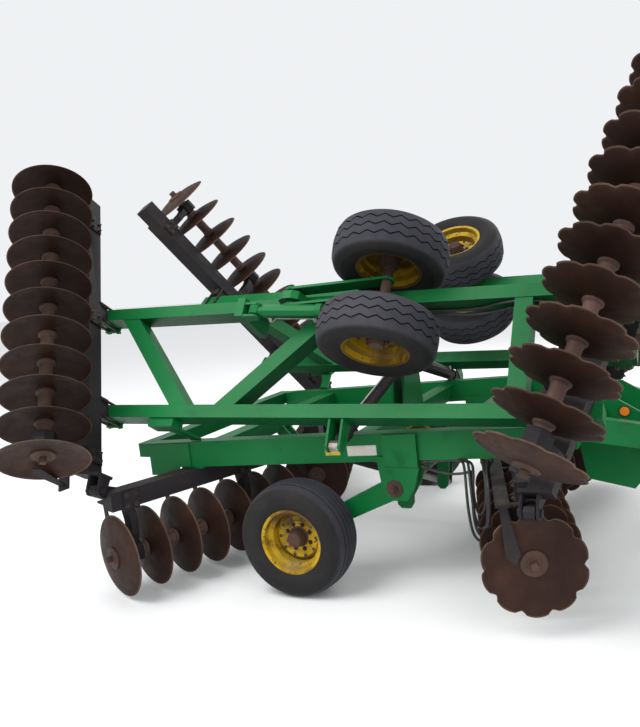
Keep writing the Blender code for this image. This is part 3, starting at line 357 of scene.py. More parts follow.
def rusty(name, tones, rough=0.62, metal=0.1, rings=False):
    """Bare steel with an even brown rust and fine pits. The tones are deep, middle, light and patch."""
    n = Nodes(name)
    broad = n.noise(2.6, 5.0, 0.6)
    patch = n.noise(11.7, 9.0, 0.68)
    fine = n.noise(130.0, 8.0, 0.72)
    base = n.ramp(broad, (0.30, tones[0]), (0.52, tones[1]), (0.74, tones[2]))
    base = n.mix(n.maths("MULTIPLY", n.mask(patch, 0.45, 0.75), 0.7), base, tones[3])
    base = n.mix(n.maths("MULTIPLY", n.mask(fine, 0.55, 0.8), 0.35), base, tones[0])
    height = fine
    if rings:
        track = n.add("ShaderNodeUVMap", uv_map="ring")
        lines = n.add("ShaderNodeTexNoise", in_Scale=1.0, in_Detail=5.0, in_Roughness=0.7)
        n.link(track.outputs["UV"], lines.inputs["Vector"])
        scored = n.mask(lines.outputs["Fac"], 0.50, 0.72)
        base = n.mix(n.maths("MULTIPLY", scored, 0.30), base, tones[2])
        height = n.maths("ADD", fine, n.maths("MULTIPLY", scored, 0.4))
    n.colour(base)
    n.rough(n.maths("ADD", n.maths("MULTIPLY", n.mask(patch, 0.3, 0.8), 0.22), rough - 0.1))
    n.shader.inputs["Metallic"].default_value = metal
    n.shader.inputs["Specular IOR Level"].default_value = DULL
    n.bump(height, 0.45, FINE_BUMP)
    return n.material


def rubber(name):
    """Tyre: a grey tread and darker walls. The ring layer's u is the wall's share and its v the painted shade in
    the grooves.
    """
    n = Nodes(name)
    fine = n.noise(90.0, 6.0, 0.7)
    dirt = n.noise(7.0, 8.0, 0.65)
    ring = n.add("ShaderNodeUVMap", uv_map="ring")
    split = n.add("ShaderNodeSeparateXYZ")
    n.link(ring.outputs["UV"], split.inputs["Vector"])
    tread = n.mix(n.mask(n.noise(2.2), 0.35, 0.70), (0.026, 0.026, 0.034), (0.044, 0.043, 0.052))
    wall = n.mix(n.mask(n.noise(3.1), 0.35, 0.70), (0.010, 0.010, 0.0105), (0.019, 0.017, 0.0165))
    base = n.mix(split.outputs["X"], tread, wall)
    base = n.mix(n.maths("MULTIPLY", n.mask(dirt, 0.55, 0.80), 0.20), base, (0.062, 0.050, 0.042))
    # groove bottoms mixed towards near black: painted shade in the grooves
    base = n.mix(n.maths("MULTIPLY", split.outputs["Y"], 0.85), base, (0.006, 0.006, 0.007))
    n.colour(base)
    n.rough(n.maths("ADD", n.maths("MULTIPLY", fine, 0.18), 0.66))
    n.shader.inputs["Specular IOR Level"].default_value = 0.22
    n.bump(fine, 0.35, FINE_BUMP)
    return n.material


def plain_finish(name, tone, rough):
    """Rubber or plastic of one tone, dusty in patches."""
    n = Nodes(name)
    fine = n.noise(160.0, 4.0, 0.6)
    dirt = n.noise(20.0, 6.0, 0.6)
    n.colour(n.mix(n.maths("MULTIPLY", n.mask(dirt, 0.5, 0.8), 0.5), tone, (0.09, 0.08, 0.07)))
    n.rough(n.maths("ADD", n.maths("MULTIPLY", fine, 0.2), rough))
    n.bump(fine, 0.2, 0.0005)
    return n.material


def lens(name, tone):
    """Clear-coated plastic with small cells."""
    n = Nodes(name)
    cells = n.add("ShaderNodeTexVoronoi", in_Scale=160.0)
    n.link(n.where, cells.inputs["Vector"])
    n.colour(n.mix(n.mask(n.noise(30.0), 0.4, 0.8), tone, tuple(0.55 * c for c in tone)))
    n.shader.inputs["Roughness"].default_value = 0.18
    n.shader.inputs["Coat Weight"].default_value = 0.5
    n.bump(cells.outputs["Distance"], 0.5, FINE_BUMP)
    return n.material


def make_materials():
    return {
        "green": painted("green_paint", (0.003, 0.118, 0.028), (0.008, 0.165, 0.045), (0.001, 0.026, 0.009),
                         dust=0.06),
        "slate": painted("dark_paint", (0.016, 0.014, 0.016), (0.028, 0.025, 0.029), (0.009, 0.007, 0.006),
                         chips=0.64, dust=0.18, gloss=0.55),
        "yellow": painted("yellow_paint", (0.430, 0.265, 0.008), (0.520, 0.360, 0.030), (0.085, 0.045, 0.012),
                          chips=0.58, dust=0.40, gloss=0.42, grime=0.90, dirty=0.44, shade=0.88),
        "disc": rusty("disc_rust", ((0.017, 0.0070, 0.0045), (0.030, 0.0130, 0.0085), (0.056, 0.0250, 0.0155),
                                    (0.022, 0.0115, 0.0100)), metal=0.0, rings=True),
        "rim_edge": rusty("ground_edge", ((0.055, 0.030, 0.020), (0.090, 0.052, 0.036), (0.150, 0.092, 0.066),
                                          (0.064, 0.037, 0.027))),
        "spool": rusty("spool_rust", ((0.054, 0.030, 0.024), (0.100, 0.058, 0.046), (0.165, 0.098, 0.080),
                                      (0.068, 0.044, 0.038))),
        "hub": rusty("hub_rust", ((0.036, 0.021, 0.016), (0.070, 0.040, 0.030), (0.120, 0.070, 0.053),
                                  (0.046, 0.030, 0.026))),
        "bolt": rusty("bolt_steel", ((0.032, 0.024, 0.020), (0.060, 0.046, 0.038), (0.120, 0.098, 0.084),
                                     (0.045, 0.026, 0.018)), rough=0.50, metal=0.5),
        "rod": rusty("rod_steel", ((0.180, 0.165, 0.150), (0.300, 0.285, 0.270), (0.420, 0.400, 0.380),
                                   (0.120, 0.070, 0.045)), rough=0.35, metal=0.9),
        "tyre": rubber("tyre_rubber"),
        "hose": plain_finish("hose_rubber", (0.018, 0.018, 0.020), 0.45),
        "amber": lens("amber_lens", (0.80, 0.22, 0.02)),
        "plate": plain_finish("blank_plate", (0.520, 0.500, 0.450), 0.40),
        "plate_yellow": plain_finish("blank_plate_yellow", (0.480, 0.380, 0.030), 0.40),
    }


# Mesh building

def basis(axis):
    axis = Vector(axis).normalized()
    helper = Vector((0, 0, 1)) if abs(axis.z) < 0.9 else Vector((1, 0, 0))
    first = helper.cross(axis).normalized()
    return first, axis.cross(first)


def spoke(first, second, angle):
    return first * math.cos(angle) + second * math.sin(angle)


class Shape:
    """Gathers surfaces for one mesh, with a slot for each face and two numbers a corner for the finish."""

    def __init__(self):
        self.verts = []
        self.faces = []
        self.slots = []
        self.marks = []

    def ring(self, points, mark=(0.0, 0.0)):
        start = len(self.verts)
        self.verts += [tuple(p) for p in points]
        self.marks += [mark] * len(points)
        return list(range(start, len(self.verts)))

    def face(self, corners, slot=0):
        self.faces.append(tuple(corners))
        self.slots.append(slot)

    def join(self, a, b, slot=0):
        for i in range(len(a)):
            j = (i + 1) % len(a)
            self.face((a[i], a[j], b[j], b[i]), slot)

    def lathe(self, base, axis, profile, count, slot=0, phase=0.0, reach=None):
        """Turned surface; each profile point is (along, radius) and radius 0 closes an end.

        reach may change a radius with the angle."""
        base, axis = Vector(base), Vector(axis).normalized()
        first, second = basis(axis)
        previous = None
        for along, radius in profile:
            centre = base + axis * along
            if radius == 0:
                ring = self.ring([centre], (along, 0.0))
            else:
                points = []
                for i in range(count):
                    angle = 2 * math.pi * (i + phase) / count
                    r = reach(radius, angle) if reach else radius
                    points.append(centre + spoke(first, second, angle) * r)
                ring = self.ring(points, (along, radius))
            if previous is not None:
                if len(previous) == 1:
                    for i in range(count):
                        self.face((previous[0], ring[(i + 1) % count], ring[i]), slot)
                elif len(ring) == 1:
                    for i in range(count):
                        self.face((previous[i], previous[(i + 1) % count], ring[0]), slot)
                else:
                    self.join(previous, ring, slot)
            previous = ring

    def box(self, centre, turn, size, slot, bevel):
        """Box with its size along the three columns of turn, its edges cut by bevel."""
        bm = bmesh.new()
        bmesh.ops.create_cube(bm, size=1.0, matrix=Matrix.Diagonal((*size, 1.0)))
        bmesh.ops.bevel(bm, geom=list(bm.edges), offset=min(bevel, min(size) * 0.3), segments=2, profile=0.5,
                        affect="EDGES")
        bm.verts.index_update()
        matrix = Matrix.Translation(centre) @ turn.to_4x4()
        start = len(self.verts)
        for v in bm.verts:
            self.verts.append(tuple(matrix @ v.co))
            self.marks.append((0.0, 0.0))
        for f in bm.faces:
            self.face([start + v.index for v in f.verts], slot)
        bm.free()

    def tube(self, points, radius, sides, slot=0):
        """Round tube along a smooth line, with flat ends."""
        line = smooth_line(points)
        first = previous = None
        for i, p in enumerate(line):
            along = (line[min(i + 1, len(line) - 1)] - line[max(i - 1, 0)]).normalized()
            first = basis(along)[0] if first is None else (first - along * first.dot(along)).normalized()
            second = along.cross(first)
            turns = [2 * math.pi * k / sides for k in range(sides)]
            ring = self.ring([p + spoke(first, second, t) * radius for t in turns])
            if previous:
                self.join(previous, ring, slot)
            else:
                self.face(ring[::-1], slot)
            previous = ring
        self.face(previous, slot)

    def bolt(self, place, axis, across, slot, stud=0.0, washer=True):
        """Hexagon head with a chamfer, perhaps on a washer and with the stud's end."""
        r = across / 2 / math.cos(math.pi / 6)
        height = across * 0.42
        foot = 0.0
        if washer:
            foot = across * 0.12
            self.lathe(place, axis, [(0, 0), (0, across * 0.78), (foot, across * 0.78), (foot, 0)], 16, slot)
        self.lathe(place, axis, [(foot, 0), (foot, r), (foot + height * 0.8, r), (foot + height, r * 0.84),
                                 (foot + height, 0)], 6, slot, rng.random())
        if stud:
            low, high = foot + height, foot + height + stud
            end = [(low, 0), (low, across * 0.30), (high, across * 0.28), (high, 0)]
            self.lathe(place, axis, end, 10, slot)

    def finish(self, name, keys, body, replaced=(), sharp=SHARP_EDGE):
        """One piece on a body, with the materials that its faces' slots count."""
        mesh = bpy.data.meshes.new(name)
        mesh.from_pydata(self.verts, [], self.faces)
        for key in keys:
            mesh.materials.append(MATERIALS[key])
        mesh.polygons.foreach_set("material_index", self.slots)
        layer = mesh.uv_layers.new(name="ring")
        for loop in mesh.loops:
            layer.data[loop.index].uv = self.marks[loop.vertex_index]
        bm = bmesh.new()
        bm.from_mesh(mesh)
        bmesh.ops.recalc_face_normals(bm, faces=bm.faces)
        bm.to_mesh(mesh)
        bm.free()
        mesh.shade_smooth()
        mesh.set_sharp_from_angle(angle=math.radians(sharp))
        thing = bpy.data.objects.new(name, mesh)
        bpy.context.scene.collection.objects.link(thing)
        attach(thing, body)
        if replaced:
            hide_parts(*replaced)


def smooth_line(points):
    """Points along a Catmull-Rom curve through the given ones."""
    pts = [Vector(p) for p in points]
    pts = [pts[0] * 2 - pts[1]] + pts + [pts[-1] * 2 - pts[-2]]
    line = []
    for i in range(1, len(pts) - 2):
        a, b, c, d = pts[i - 1:i + 3]
        for k in range(CURVE_STEPS):
            t = k / CURVE_STEPS
            line.append(0.5 * (2 * b + (c - a) * t + (2 * a - 5 * b + 4 * c - d) * t * t
                               + (3 * b - a - 3 * c + d) * t ** 3))
    line.append(pts[-2])
    return line


# Disc gangs

def scalloped(rim):
    """How far a point of a notched disc lies from the axis, by its nominal radius and its angle."""
    def reach(radius, angle):
        share = angle * NOTCHES / (2 * math.pi)
        off = abs(share - round(share))
        depth = LOBE_DEPTH * (0.5 + 0.5 * math.cos(2 * math.pi * off))
        if off < NOTCH_SHARE:
            depth += (NOTCH_DEPTH - LOBE_DEPTH) * (0.5 + 0.5 * math.cos(math.pi * off / NOTCH_SHARE))
        return radius - depth * max(0.0, (radius / rim - LOBE_START) / (1 - LOBE_START)) ** 2
    return reach


def add_disc(shape, centre, axis, dish, rim, notched):
    """Dished disc of even thickness with a ground edge: a flat seat round the hub, then a curved dish."""
    def height(r):
        share = max(0.0, r - FLAT_SEAT_R) / (rim - FLAT_SEAT_R)
        return dish * share ** DISH_POWER

    span = rim - GROUND_BAND - FLAT_SEAT_R
    radii = [SPOOL_R * 0.8] + [FLAT_SEAT_R + span * i / (DISC_RINGS - 1) for i in range(DISC_RINGS)]
    back = [(height(r) - PLATE_T / 2, r) for r in radii]
    front = [(height(r) + PLATE_T / 2, r) for r in reversed(radii)]
    edge = [(height(rim) - EDGE_HALF, rim), (height(rim) + EDGE_HALF, rim)]
    segments = NOTCHED_SEGMENTS if notched else PLAIN_SEGMENTS
    start = len(shape.slots)
    shape.lathe(centre, axis, back + edge + front, segments, 0, reach=scalloped(rim) if notched else None)
    # the three bands round the rim are ground brighter
    for i in range(start + (len(back) - 1) * segments, start + (len(back) + 2) * segments):
        shape.slots[i] = 2


def add_spool(shape, start, axis, length):
    """Cast spool between two discs, flared to a flange at each end."""
    end = SPOOL_R + SPOOL_FLANGE
    half = [(0, 0.02), (0, end), (0.012, end), (0.022, SPOOL_R + 0.004), (0.045, SPOOL_R)]
    shape.lathe(start, axis, half + [(length - along, r) for along, r in reversed(half)], 28, 1)


def make_gang(tag, section, front):
    place = "front" if front else "rear"
    joint = JOINTS["%s_%s_gang_%s" % (section, place, tag)]
    count = CENTRE_DISCS if section == "centre" else WING_DISCS
    origin, axis = Vector(joint["pos_m"]), Vector(joint["axis"])
    rim = FRONT_DISC_R if front else REAR_DISC_R
    dish = DISH if front else -DISH
    shape = Shape()
    for i in range(count):
        add_disc(shape, origin + axis * (PITCH * i), axis, dish, rim, front)
    for i in range(count - 1):
        add_spool(shape, origin + axis * (PITCH * i + PLATE_T / 2), axis, PITCH - PLATE_T)
    # each end has a washer, with the square end of the shaft or a nut on it
    cap = [(0, 0.02), (0, WASHER_R), (0.009, WASHER_R), (0.013, WASHER_R - 0.004), (0.014, 0.045),
           (WASHER_TOP, 0.040), (WASHER_TOP, 0)]
    square = Matrix((*basis(axis), axis)).transposed() @ Matrix.Rotation(0.5, 3, "Z")
    last = PITCH * (count - 1)
    for start, way in ((-PLATE_T / 2, -1), (last + PLATE_T / 2, 1)):
        shape.lathe(origin + axis * start, axis * way, cap, 36, 3)
        nut = origin + axis * (start + way * (WASHER_TOP + 0.0005))
        if way == 1 or section == "wing":
            shape.box(nut + axis * (way * SHAFT_SQUARE[2] / 2), square, SHAFT_SQUARE, 3, 0.004)
        else:
            shape.bolt(nut, axis * way, SHAFT_NUT, 3, washer=False)
    name = "%s_%s_discs_%s" % (section, place, tag)
    shape.finish(name + "_fine", ("disc", "spool", "rim_edge", "hub"), joint["child"], [name])


# Wheels

def make_tyre(name, centre, axis, body, grooves, zigzag):
    """Tyre with ribs between its grooves, round shoulders and a ringed sidewall."""
    half = TYRE_W / 2
    bead = RIM_W / 2
    edge = half - SHOULDER
    shape = Shape()
    centre, axis = Vector(centre), Vector(axis)
    first, second = basis(axis)
    count = TREAD_TURNS * TREAD_SAMPLES

    def crown(y):
        return TYRE_R - CROWN * abs(y / edge) ** 2.4

    wall = [(bead - 0.012, RIM_R + 0.002), (bead - 0.004, RIM_R + 0.010), (bead + 0.010, RIM_R + 0.016),
            (bead + 0.020, RIM_R + 0.030), (half - 0.006, RIM_R + 0.050), (half - 0.0015, RIM_R + 0.068),
            (half, RIM_R + 0.084), (half - 0.0015, RIM_R + 0.098), (half - 0.001, RIM_R + 0.102),
            (half - 0.003, RIM_R + 0.106), (half - 0.007, RIM_R + 0.120), (half - 0.013, RIM_R + 0.133),
            (half - 0.019, RIM_R + 0.143)]
    # each row: sideways place, radius, share of the zigzag, wall's share, painted shade in the groove
    shoulder = [(edge, crown(edge), 0.0, 0.25, 0.0), (edge - 0.006, crown(edge - 0.006), 0.0, 0.0, 0.0)]
    half_rows = [(y, r, 0.0, 1.0, 0.0) for y, r in [(bead - 0.030, RIM_R + 0.001)] + wall] + shoulder
    tread = []
    for middle in grooves:
        for off, depth, shade in GROOVE_SHAPE:
            y = middle + off * GROOVE_HALF
            tread.append((y, crown(y) - depth, 1.0, 0.0, shade))
    rows = [(-row[0], *row[1:]) for row in half_rows] + tread + half_rows[::-1]
    rings = []
    for y, radius, zig, wall_share, shade in rows:
        points = []
        for i in range(count):
            angle = 2 * math.pi * i / count
            beat = (i % TREAD_SAMPLES) / TREAD_SAMPLES
            wave = 4 * abs(beat - 0.5) - 1
            across = y + zig * wave * zigzag
            points.append(centre + axis * across + spoke(first, second, angle) * radius)
        rings.append(shape.ring(points, (wall_share, shade)))
    for a, b in zip(rings, rings[1:] + rings[:1]):
        shape.join(a, b)
    shape.finish(name + "_fine", ["tyre"], body, [name], TYRE_SHARP_EDGE)


def make_rim(name, centre, axis, body):
    """Drop-centre rim with a dished disc, hand holes, hub and studs. The axis points out of its open side."""
    shape = Shape()
    centre, axis = Vector(centre), Vector(axis)
    first, second = basis(axis)
    bead = RIM_W / 2
    lip = RIM_R + 0.014
    well = RIM_R - WELL_DEPTH - RIM_SKIN
    outer = [(bead + 0.006, lip), (bead - 0.002, lip - 0.002), (bead - 0.006, RIM_R),
             (bead - 0.040, RIM_R - 0.004), (bead - 0.060, RIM_R - WELL_DEPTH)]
    outer += [(-along, r) for along, r in reversed(outer)]
    inner = [(-bead - 0.006, lip - 0.004), (-bead, RIM_R - RIM_SKIN),
             (-bead + 0.038, RIM_R - RIM_SKIN - 0.004), (-bead + 0.058, well)]
    inner += [(-along, r) for along, r in reversed(inner)]
    shape.lathe(centre, axis, outer + inner + outer[:1], 72)
    # dished disc between the well and the hub
    dished = [(-0.012, well + 0.002), (0.004, well - 0.012), (0.012, well - 0.030),
              (0.008, 0.112), (0.002, 0.104), (0.002, 0.060)]
    back = [(x - 0.008, r) for x, r in reversed(dished)]
    shape.lathe(centre, axis, dished + back + dished[:1], 72)
    # hub and cap
    hub = [(-0.078, 0.0305), (-0.078, 0.056), (-0.050, 0.060), (-0.020, 0.068), (0.006, 0.068),
           (0.010, 0.058), (0.060, 0.052), (0.074, 0.046), (0.0835, 0.030), (0.0840, 0)]
    shape.lathe(centre, axis, hub, 40, 1)
    for i in range(STUDS):
        angle = 2 * math.pi * (i + 0.5) / STUDS
        out = spoke(first, second, angle)
        shape.bolt(centre + out * STUD_CIRCLE_R + axis * 0.0025, axis, STUD_NUT, 2, stud=0.008)
    hole = [(-0.0025, 0), (-0.0025, 0.0110), (0.0012, 0.0115), (0.0012, 0.0095), (0.0, 0)]
    for i in range(HAND_HOLES):
        out = spoke(first, second, 2 * math.pi * i / HAND_HOLES)
        shape.lathe(centre + out * HOLE_CIRCLE_R + axis * 0.0115, axis, hole, 16, 3)
    valve = [(0.148, 0.012), (0.152, 0.045), (0.152, 0.075)]
    shape.tube([centre + first * r + axis * along for r, along in valve], VALVE_R, 8, 3)
    shape.finish(name + "_fine", ("yellow", "hub", "bolt", "hose"), body, [name])


def make_wheels():
    for tag, side in SIDES:
        joint = JOINTS["centre_wheel_" + tag]
        place = Vector(joint["pos_m"])
        body = joint["child"]
        out = Vector((0, side, 0))
        make_tyre("centre_wheel_%s_tyre" % tag, place, out, body, RIB_GROOVES, 0.0)
        make_rim("centre_wheel_%s_rim" % tag, place, out, body)
        joint = JOINTS["wing_wheels_" + tag]
        body = joint["child"]
        axis = Vector(joint["axis"]) * side
        for i in (1, 2):
            low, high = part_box("wing_wheel_%s_%d_tyre" % (tag, i))
            place = (low + high) / 2
            way = axis if i == 2 else -axis
            make_tyre("wing_wheel_%s_%d_tyre" % (tag, i), place, way, body, WING_GROOVES, ZIGZAG)
            make_rim("wing_wheel_%s_%d_rim" % (tag, i), place, way, body)


# Places on the gangs, the wings and the rails

class Gang:
    """A gang's place at rest: its innermost disc, u outward on its axis, v forward, w towards its tube."""

    def __init__(self, tag, section, front):
        side = -1 if tag == "R" else 1
        joint = JOINTS["%s_%s_gang_%s" % (section, "front" if front else "rear", tag)]
        self.section, self.front, self.tag = section, front, tag
        self.origin = Vector(joint["pos_m"])
        self.u = Vector(joint["axis"])
        self.w = Vector((0, 0, 1)) if section == "centre" else wing_axes(side)[1]
        self.v = self.u.cross(self.w)
        if self.v.x < 0:
            self.v.negate()
        self.rise = TUBE_RISE[section, front]
        self.body = "frame" if section == "centre" else "wing_" + tag
        self.lean = DISH if front else -DISH

    def at(self, u, v, w):
        return self.origin + self.u * u + self.v * v + self.w * w


def wing_axes(side):
    """Directions at rest of a wing's s, outward from its hinge, and t, up from its underside."""
    cos, sin = math.cos(FOLD), math.sin(FOLD)
    return Vector((0, side * cos, sin)), Vector((0, -side * sin, cos))


def wing_at(side, x, s, t):
    along, above = wing_axes(side)
    return Vector((AXLE_X + x, side * HINGE.y, HINGE.z)) + along * s + above * t


def gang_details(gang):
    """Bolts on the standards' clamps, seals and bolts on their bearings."""
    shape = Shape()
    wide = TUBE_HALF + CLAMP_T
    seal = [(-0.001, BEARING_R * 0.98), (0.005, BEARING_R * 0.94), (0.006, 0.062),
            (0.002, 0.058), (0.002, 0.0445)]
    for index in HANGERS[gang.section]:
        u = PITCH * (index + 0.5) + gang.lean / 2
        for way in (-1, 1):
            for du in CLAMP_BOLTS_U:
                for dw in CLAMP_BOLTS_W:
                    spot = gang.at(u + du, way * wide, gang.rise + dw)
                    shape.bolt(spot, gang.v * way, CLAMP_BOLT, 0, stud=0.010)
            face = gang.at(u + way * BEARING_HALF, 0, 0)
            shape.lathe(face, gang.u * way, seal, 32, 1)
            for k in range(BEARING_BOLTS):
                angle = 2 * math.pi * (k + 0.5) / BEARING_BOLTS
                spot = face + spoke(gang.v, gang.w, angle) * BEARING_CIRCLE_R
                shape.bolt(spot + gang.u * way * 0.004, gang.u * way, BEARING_BOLT, 0, washer=False)
    name = "%s_%s_clamp_bolts_%s" % (gang.section, "front" if gang.front else "rear", gang.tag)
    shape.finish(name, ("bolt", "slate"), gang.body)


def strap(shape, seat, across, up):
    """Clamp over a wing's beam: a top plate on seat, with two studs on each side of the beam."""
    along = Vector((1, 0, 0))
    turn = Matrix((along, across, up)).transposed()
    shape.box(seat + up * 0.008, turn, (2 * STRAP_REACH + 0.050, BEAM_W + 0.055, STRAP_T), 0, 0.003)
    long = BEAM_H + STUD_PAST
    stud = [(0, 0), (0, STUD_R), (long + 0.002, STUD_R), (long + 0.002, 0)]
    for ahead in (-STRAP_REACH, STRAP_REACH):
        for way in (-1, 1):
            top = seat + along * ahead + across * (way * (BEAM_W / 2 + STRAP_OFF))
            shape.lathe(top - up * long, up, stud, 12, 1)
            shape.bolt(top + up * 0.015, up, STRAP_NUT, 1, stud=0.012)


def wing_straps(tag, side):
    """Where each beam stands on a gang tube, a strap holds it down."""
    shape = Shape()
    across, up = wing_axes(side)
    for s in (INNER_S, OUTER_S):
        for front in (True, False):
            gang = Gang(tag, "wing", front)
            u = (s - HINGE_TO_DISC[front]) / abs(gang.u.dot(across))
            seat = wing_at(side, gang.at(u, 0, 0).x - AXLE_X, s, BEAM_T + BEAM_H)
            strap(shape, seat, across, up)
    shape.finish("wing_straps_" + tag, ("green", "bolt"), "wing_" + tag)


def rail_z(x):
    return RAIL_Z0 + RAIL_SLOPE * (x - RAIL_X0)


def rail_plates(tag, side):
    """Two blank plates on a rail's outer face."""
    shape = Shape()
    face = side * (RAIL_Y + RAIL_HALF_W)
    slope = Vector((1, 0, RAIL_SLOPE)).normalized()
    upright = slope.cross(Vector((0, -1, 0))).normalized()
    turn = Matrix((slope, upright, Vector((0, side, 0)))).transposed()
    # each blank plate: from x, to x, from z, to z, slot; z is counted from the rail's middle
    for low, high, down, top, slot in ((0.155, 0.262, -0.040, 0.008, 1), (0.315, 0.520, -0.048, 0.018, 0)):
        middle = (low + high) / 2
        centre = Vector((AXLE_X + middle, face + side * 0.0010, rail_z(middle) + (down + top) / 2))
        shape.box(centre, turn, (high - low, top - down, 0.0020), slot, 0.0006)
    shape.finish("rail_plates_" + tag, ("plate", "plate_yellow"), "frame")


def rail_hoses(tag, side):
    """Hose loops that hang between two discs of the front gang, clipped under the rail at both ends."""
    hoses = Shape()
    runs = (
        ((1.090, 0.985, 0.866), (1.120, 1.020, 0.862), (1.150, 1.090, 0.845), (1.175, 1.160, 0.795),
         (1.190, 1.195, 0.720), (1.200, 1.205, 0.630), (1.215, 1.205, 0.550), (1.245, 1.200, 0.515),
         (1.275, 1.190, 0.550), (1.285, 1.175, 0.640), (1.275, 1.150, 0.730), (1.250, 1.105, 0.800),
         (1.225, 1.045, 0.840), (1.210, 0.990, 0.862)),
        ((1.060, 0.985, 0.864), (1.095, 1.030, 0.860), (1.130, 1.110, 0.840), (1.155, 1.180, 0.785),
         (1.168, 1.215, 0.700), (1.178, 1.228, 0.600), (1.195, 1.230, 0.500), (1.228, 1.226, 0.452),
         (1.262, 1.216, 0.470), (1.285, 1.203, 0.560), (1.290, 1.185, 0.660), (1.280, 1.150, 0.765),
         (1.255, 1.080, 0.828), (1.240, 0.995, 0.858)),
        ((0.820, 0.995, 0.842), (0.920, 0.990, 0.852), (1.040, 0.990, 0.858), (1.120, 1.000, 0.856),
         (1.160, 1.050, 0.848), (1.185, 1.120, 0.815), (1.195, 1.170, 0.750), (1.205, 1.185, 0.660),
         (1.225, 1.185, 0.600), (1.250, 1.175, 0.610), (1.262, 1.155, 0.680), (1.255, 1.120, 0.760),
         (1.238, 1.060, 0.822), (1.225, 0.995, 0.852)),
        ((0.820, 0.995, 0.816), (0.900, 0.992, 0.790), (1.000, 0.990, 0.772), (1.090, 0.998, 0.782),
         (1.140, 1.025, 0.802), (1.168, 1.090, 0.795), (1.185, 1.150, 0.740), (1.195, 1.200, 0.650),
         (1.208, 1.217, 0.540), (1.235, 1.214, 0.480), (1.262, 1.202, 0.500), (1.276, 1.187, 0.590),
         (1.273, 1.160, 0.700), (1.262, 1.110, 0.780), (1.252, 1.045, 0.826), (1.248, 0.990, 0.846)),
    )
    ferrule = [(-0.006, 0), (-0.006, 0.010), (0.004, 0.0125), (0.040, 0.0120), (0.044, HOSE_R), (0.044, 0)]
    for run in runs:
        points = [Vector((AXLE_X + x, side * y, z)) for x, y, z in run]
        hoses.tube(points, HOSE_R, HOSE_SIDES)
        hoses.lathe(points[0], points[1] - points[0], ferrule, HOSE_SIDES, 1)
        hoses.lathe(points[-1], points[-2] - points[-1], ferrule, HOSE_SIDES, 1)
    flat = Matrix.Diagonal((1, side, 1))
    for x, z, wide in ((1.074, 0.864, 0.070), (1.230, 0.860, 0.075)):
        hoses.box((AXLE_X + x, side * 0.982, z), flat, (wide, 0.026, 0.034), 1, 0.003)
    hoses.finish("rail_hoses_" + tag, ("hose", "bolt"), "frame")


def shaft_end(tag, side):
    """Rusty nut on the end of the centre lift's shaft, in the knee panel."""
    shape = Shape()
    place = Vector(JOINTS["centre_lift"]["pos_m"])
    face = Vector((place.x, side * ROCK_END, place.z))
    collar = [(-0.001, 0), (-0.001, 0.034), (0.0055, 0.034), (0.0055, 0.057), (0.0100, 0.055), (0.0100, 0)]
    out = Vector((0, side, 0))
    shape.lathe(face, out, collar, 32)
    shape.bolt(face + out * collar[-1][0], out, 0.040, 0, stud=0.010, washer=False)
    shape.finish("centre_shaft_nut_" + tag, ["hub"], "centre_lift")


def axle_sleeve(tag, side):
    """Brown sleeve on the axle between a wing's two wheels."""
    shape = Shape()
    inner, outer = WING_WHEEL_S[0] + HUB_REACH, WING_WHEEL_S[1] - HUB_REACH
    start = wing_at(side, WING_WHEEL_X, inner, WING_WHEEL_T)
    length = outer - inner
    half = [(0, 0.0305), (0, 0.040), (0.012, 0.041), (0.016, 0.0335)]
    shape.lathe(start, wing_axes(side)[0], half + [(length - along, r) for along, r in reversed(half)], 28)
    shape.finish("wing_axle_sleeve_" + tag, ["hub"], "wing_lift_" + tag)


def reflector(tag, side):
    """Amber lens in a dark ring on the tongue's side plate."""
    shape = Shape()
    face = Vector((AXLE_X + REFLECTOR[0], side * REFLECTOR[1], REFLECTOR[2]))
    out = Vector((0, side, 0))
    shape.lathe(face, out, [(0, 0), (0, 0.036), (0.006, 0.036), (0.009, 0.034), (0.009, 0)], 32)
    shape.lathe(face, out, [(0.008, 0), (0.008, 0.031), (0.012, 0.029), (0.0135, 0)], 32, 1)
    shape.finish("tongue_reflector_" + tag, ("slate", "amber"), "frame")


def barrel_line(name, body, anchor, eye, aside, sizes, key):
    """Head gland of a cylinder, a port at each end of its barrel, and a steel line between them."""
    radius, start, length = sizes
    anchor, eye, aside = Vector(anchor), Vector(eye), Vector(aside)
    along = (eye - anchor).normalized()
    aside = (aside - along * aside.dot(along)).normalized()
    shape = Shape()
    end = start + length
    gland = [(end - 0.045, radius - 0.002), (end - 0.045, radius + 0.006), (end - 0.006, radius + 0.006),
             (end - 0.003, radius + 0.003), (end - 0.003, radius - 0.002)]
    shape.lathe(anchor, along, gland, 36, 1)
    first, last = start + 0.030, end - 0.070
    top = radius + 0.034
    port = [(radius - 0.006, 0), (radius - 0.006, 0.016), (radius + 0.016, 0.016), (radius + 0.018, 0.013),
            (top, 0.013), (top, 0)]
    for place in (first, last):
        shape.lathe(anchor + along * place, aside, port, 6)
    bend = [(first + 0.004, top - 0.006), (first + 0.016, top - 0.003), (first + 0.040, radius + 0.012),
            (first + 0.075, radius + 0.009), (last - 0.050, radius + 0.009), (last - 0.030, radius + 0.010),
            (last - 0.014, radius + 0.014)]
    shape.tube([anchor + along * a + aside * r for a, r in bend], LINE_R, HOSE_SIDES)
    shape.finish(name, ("rod", key), body)


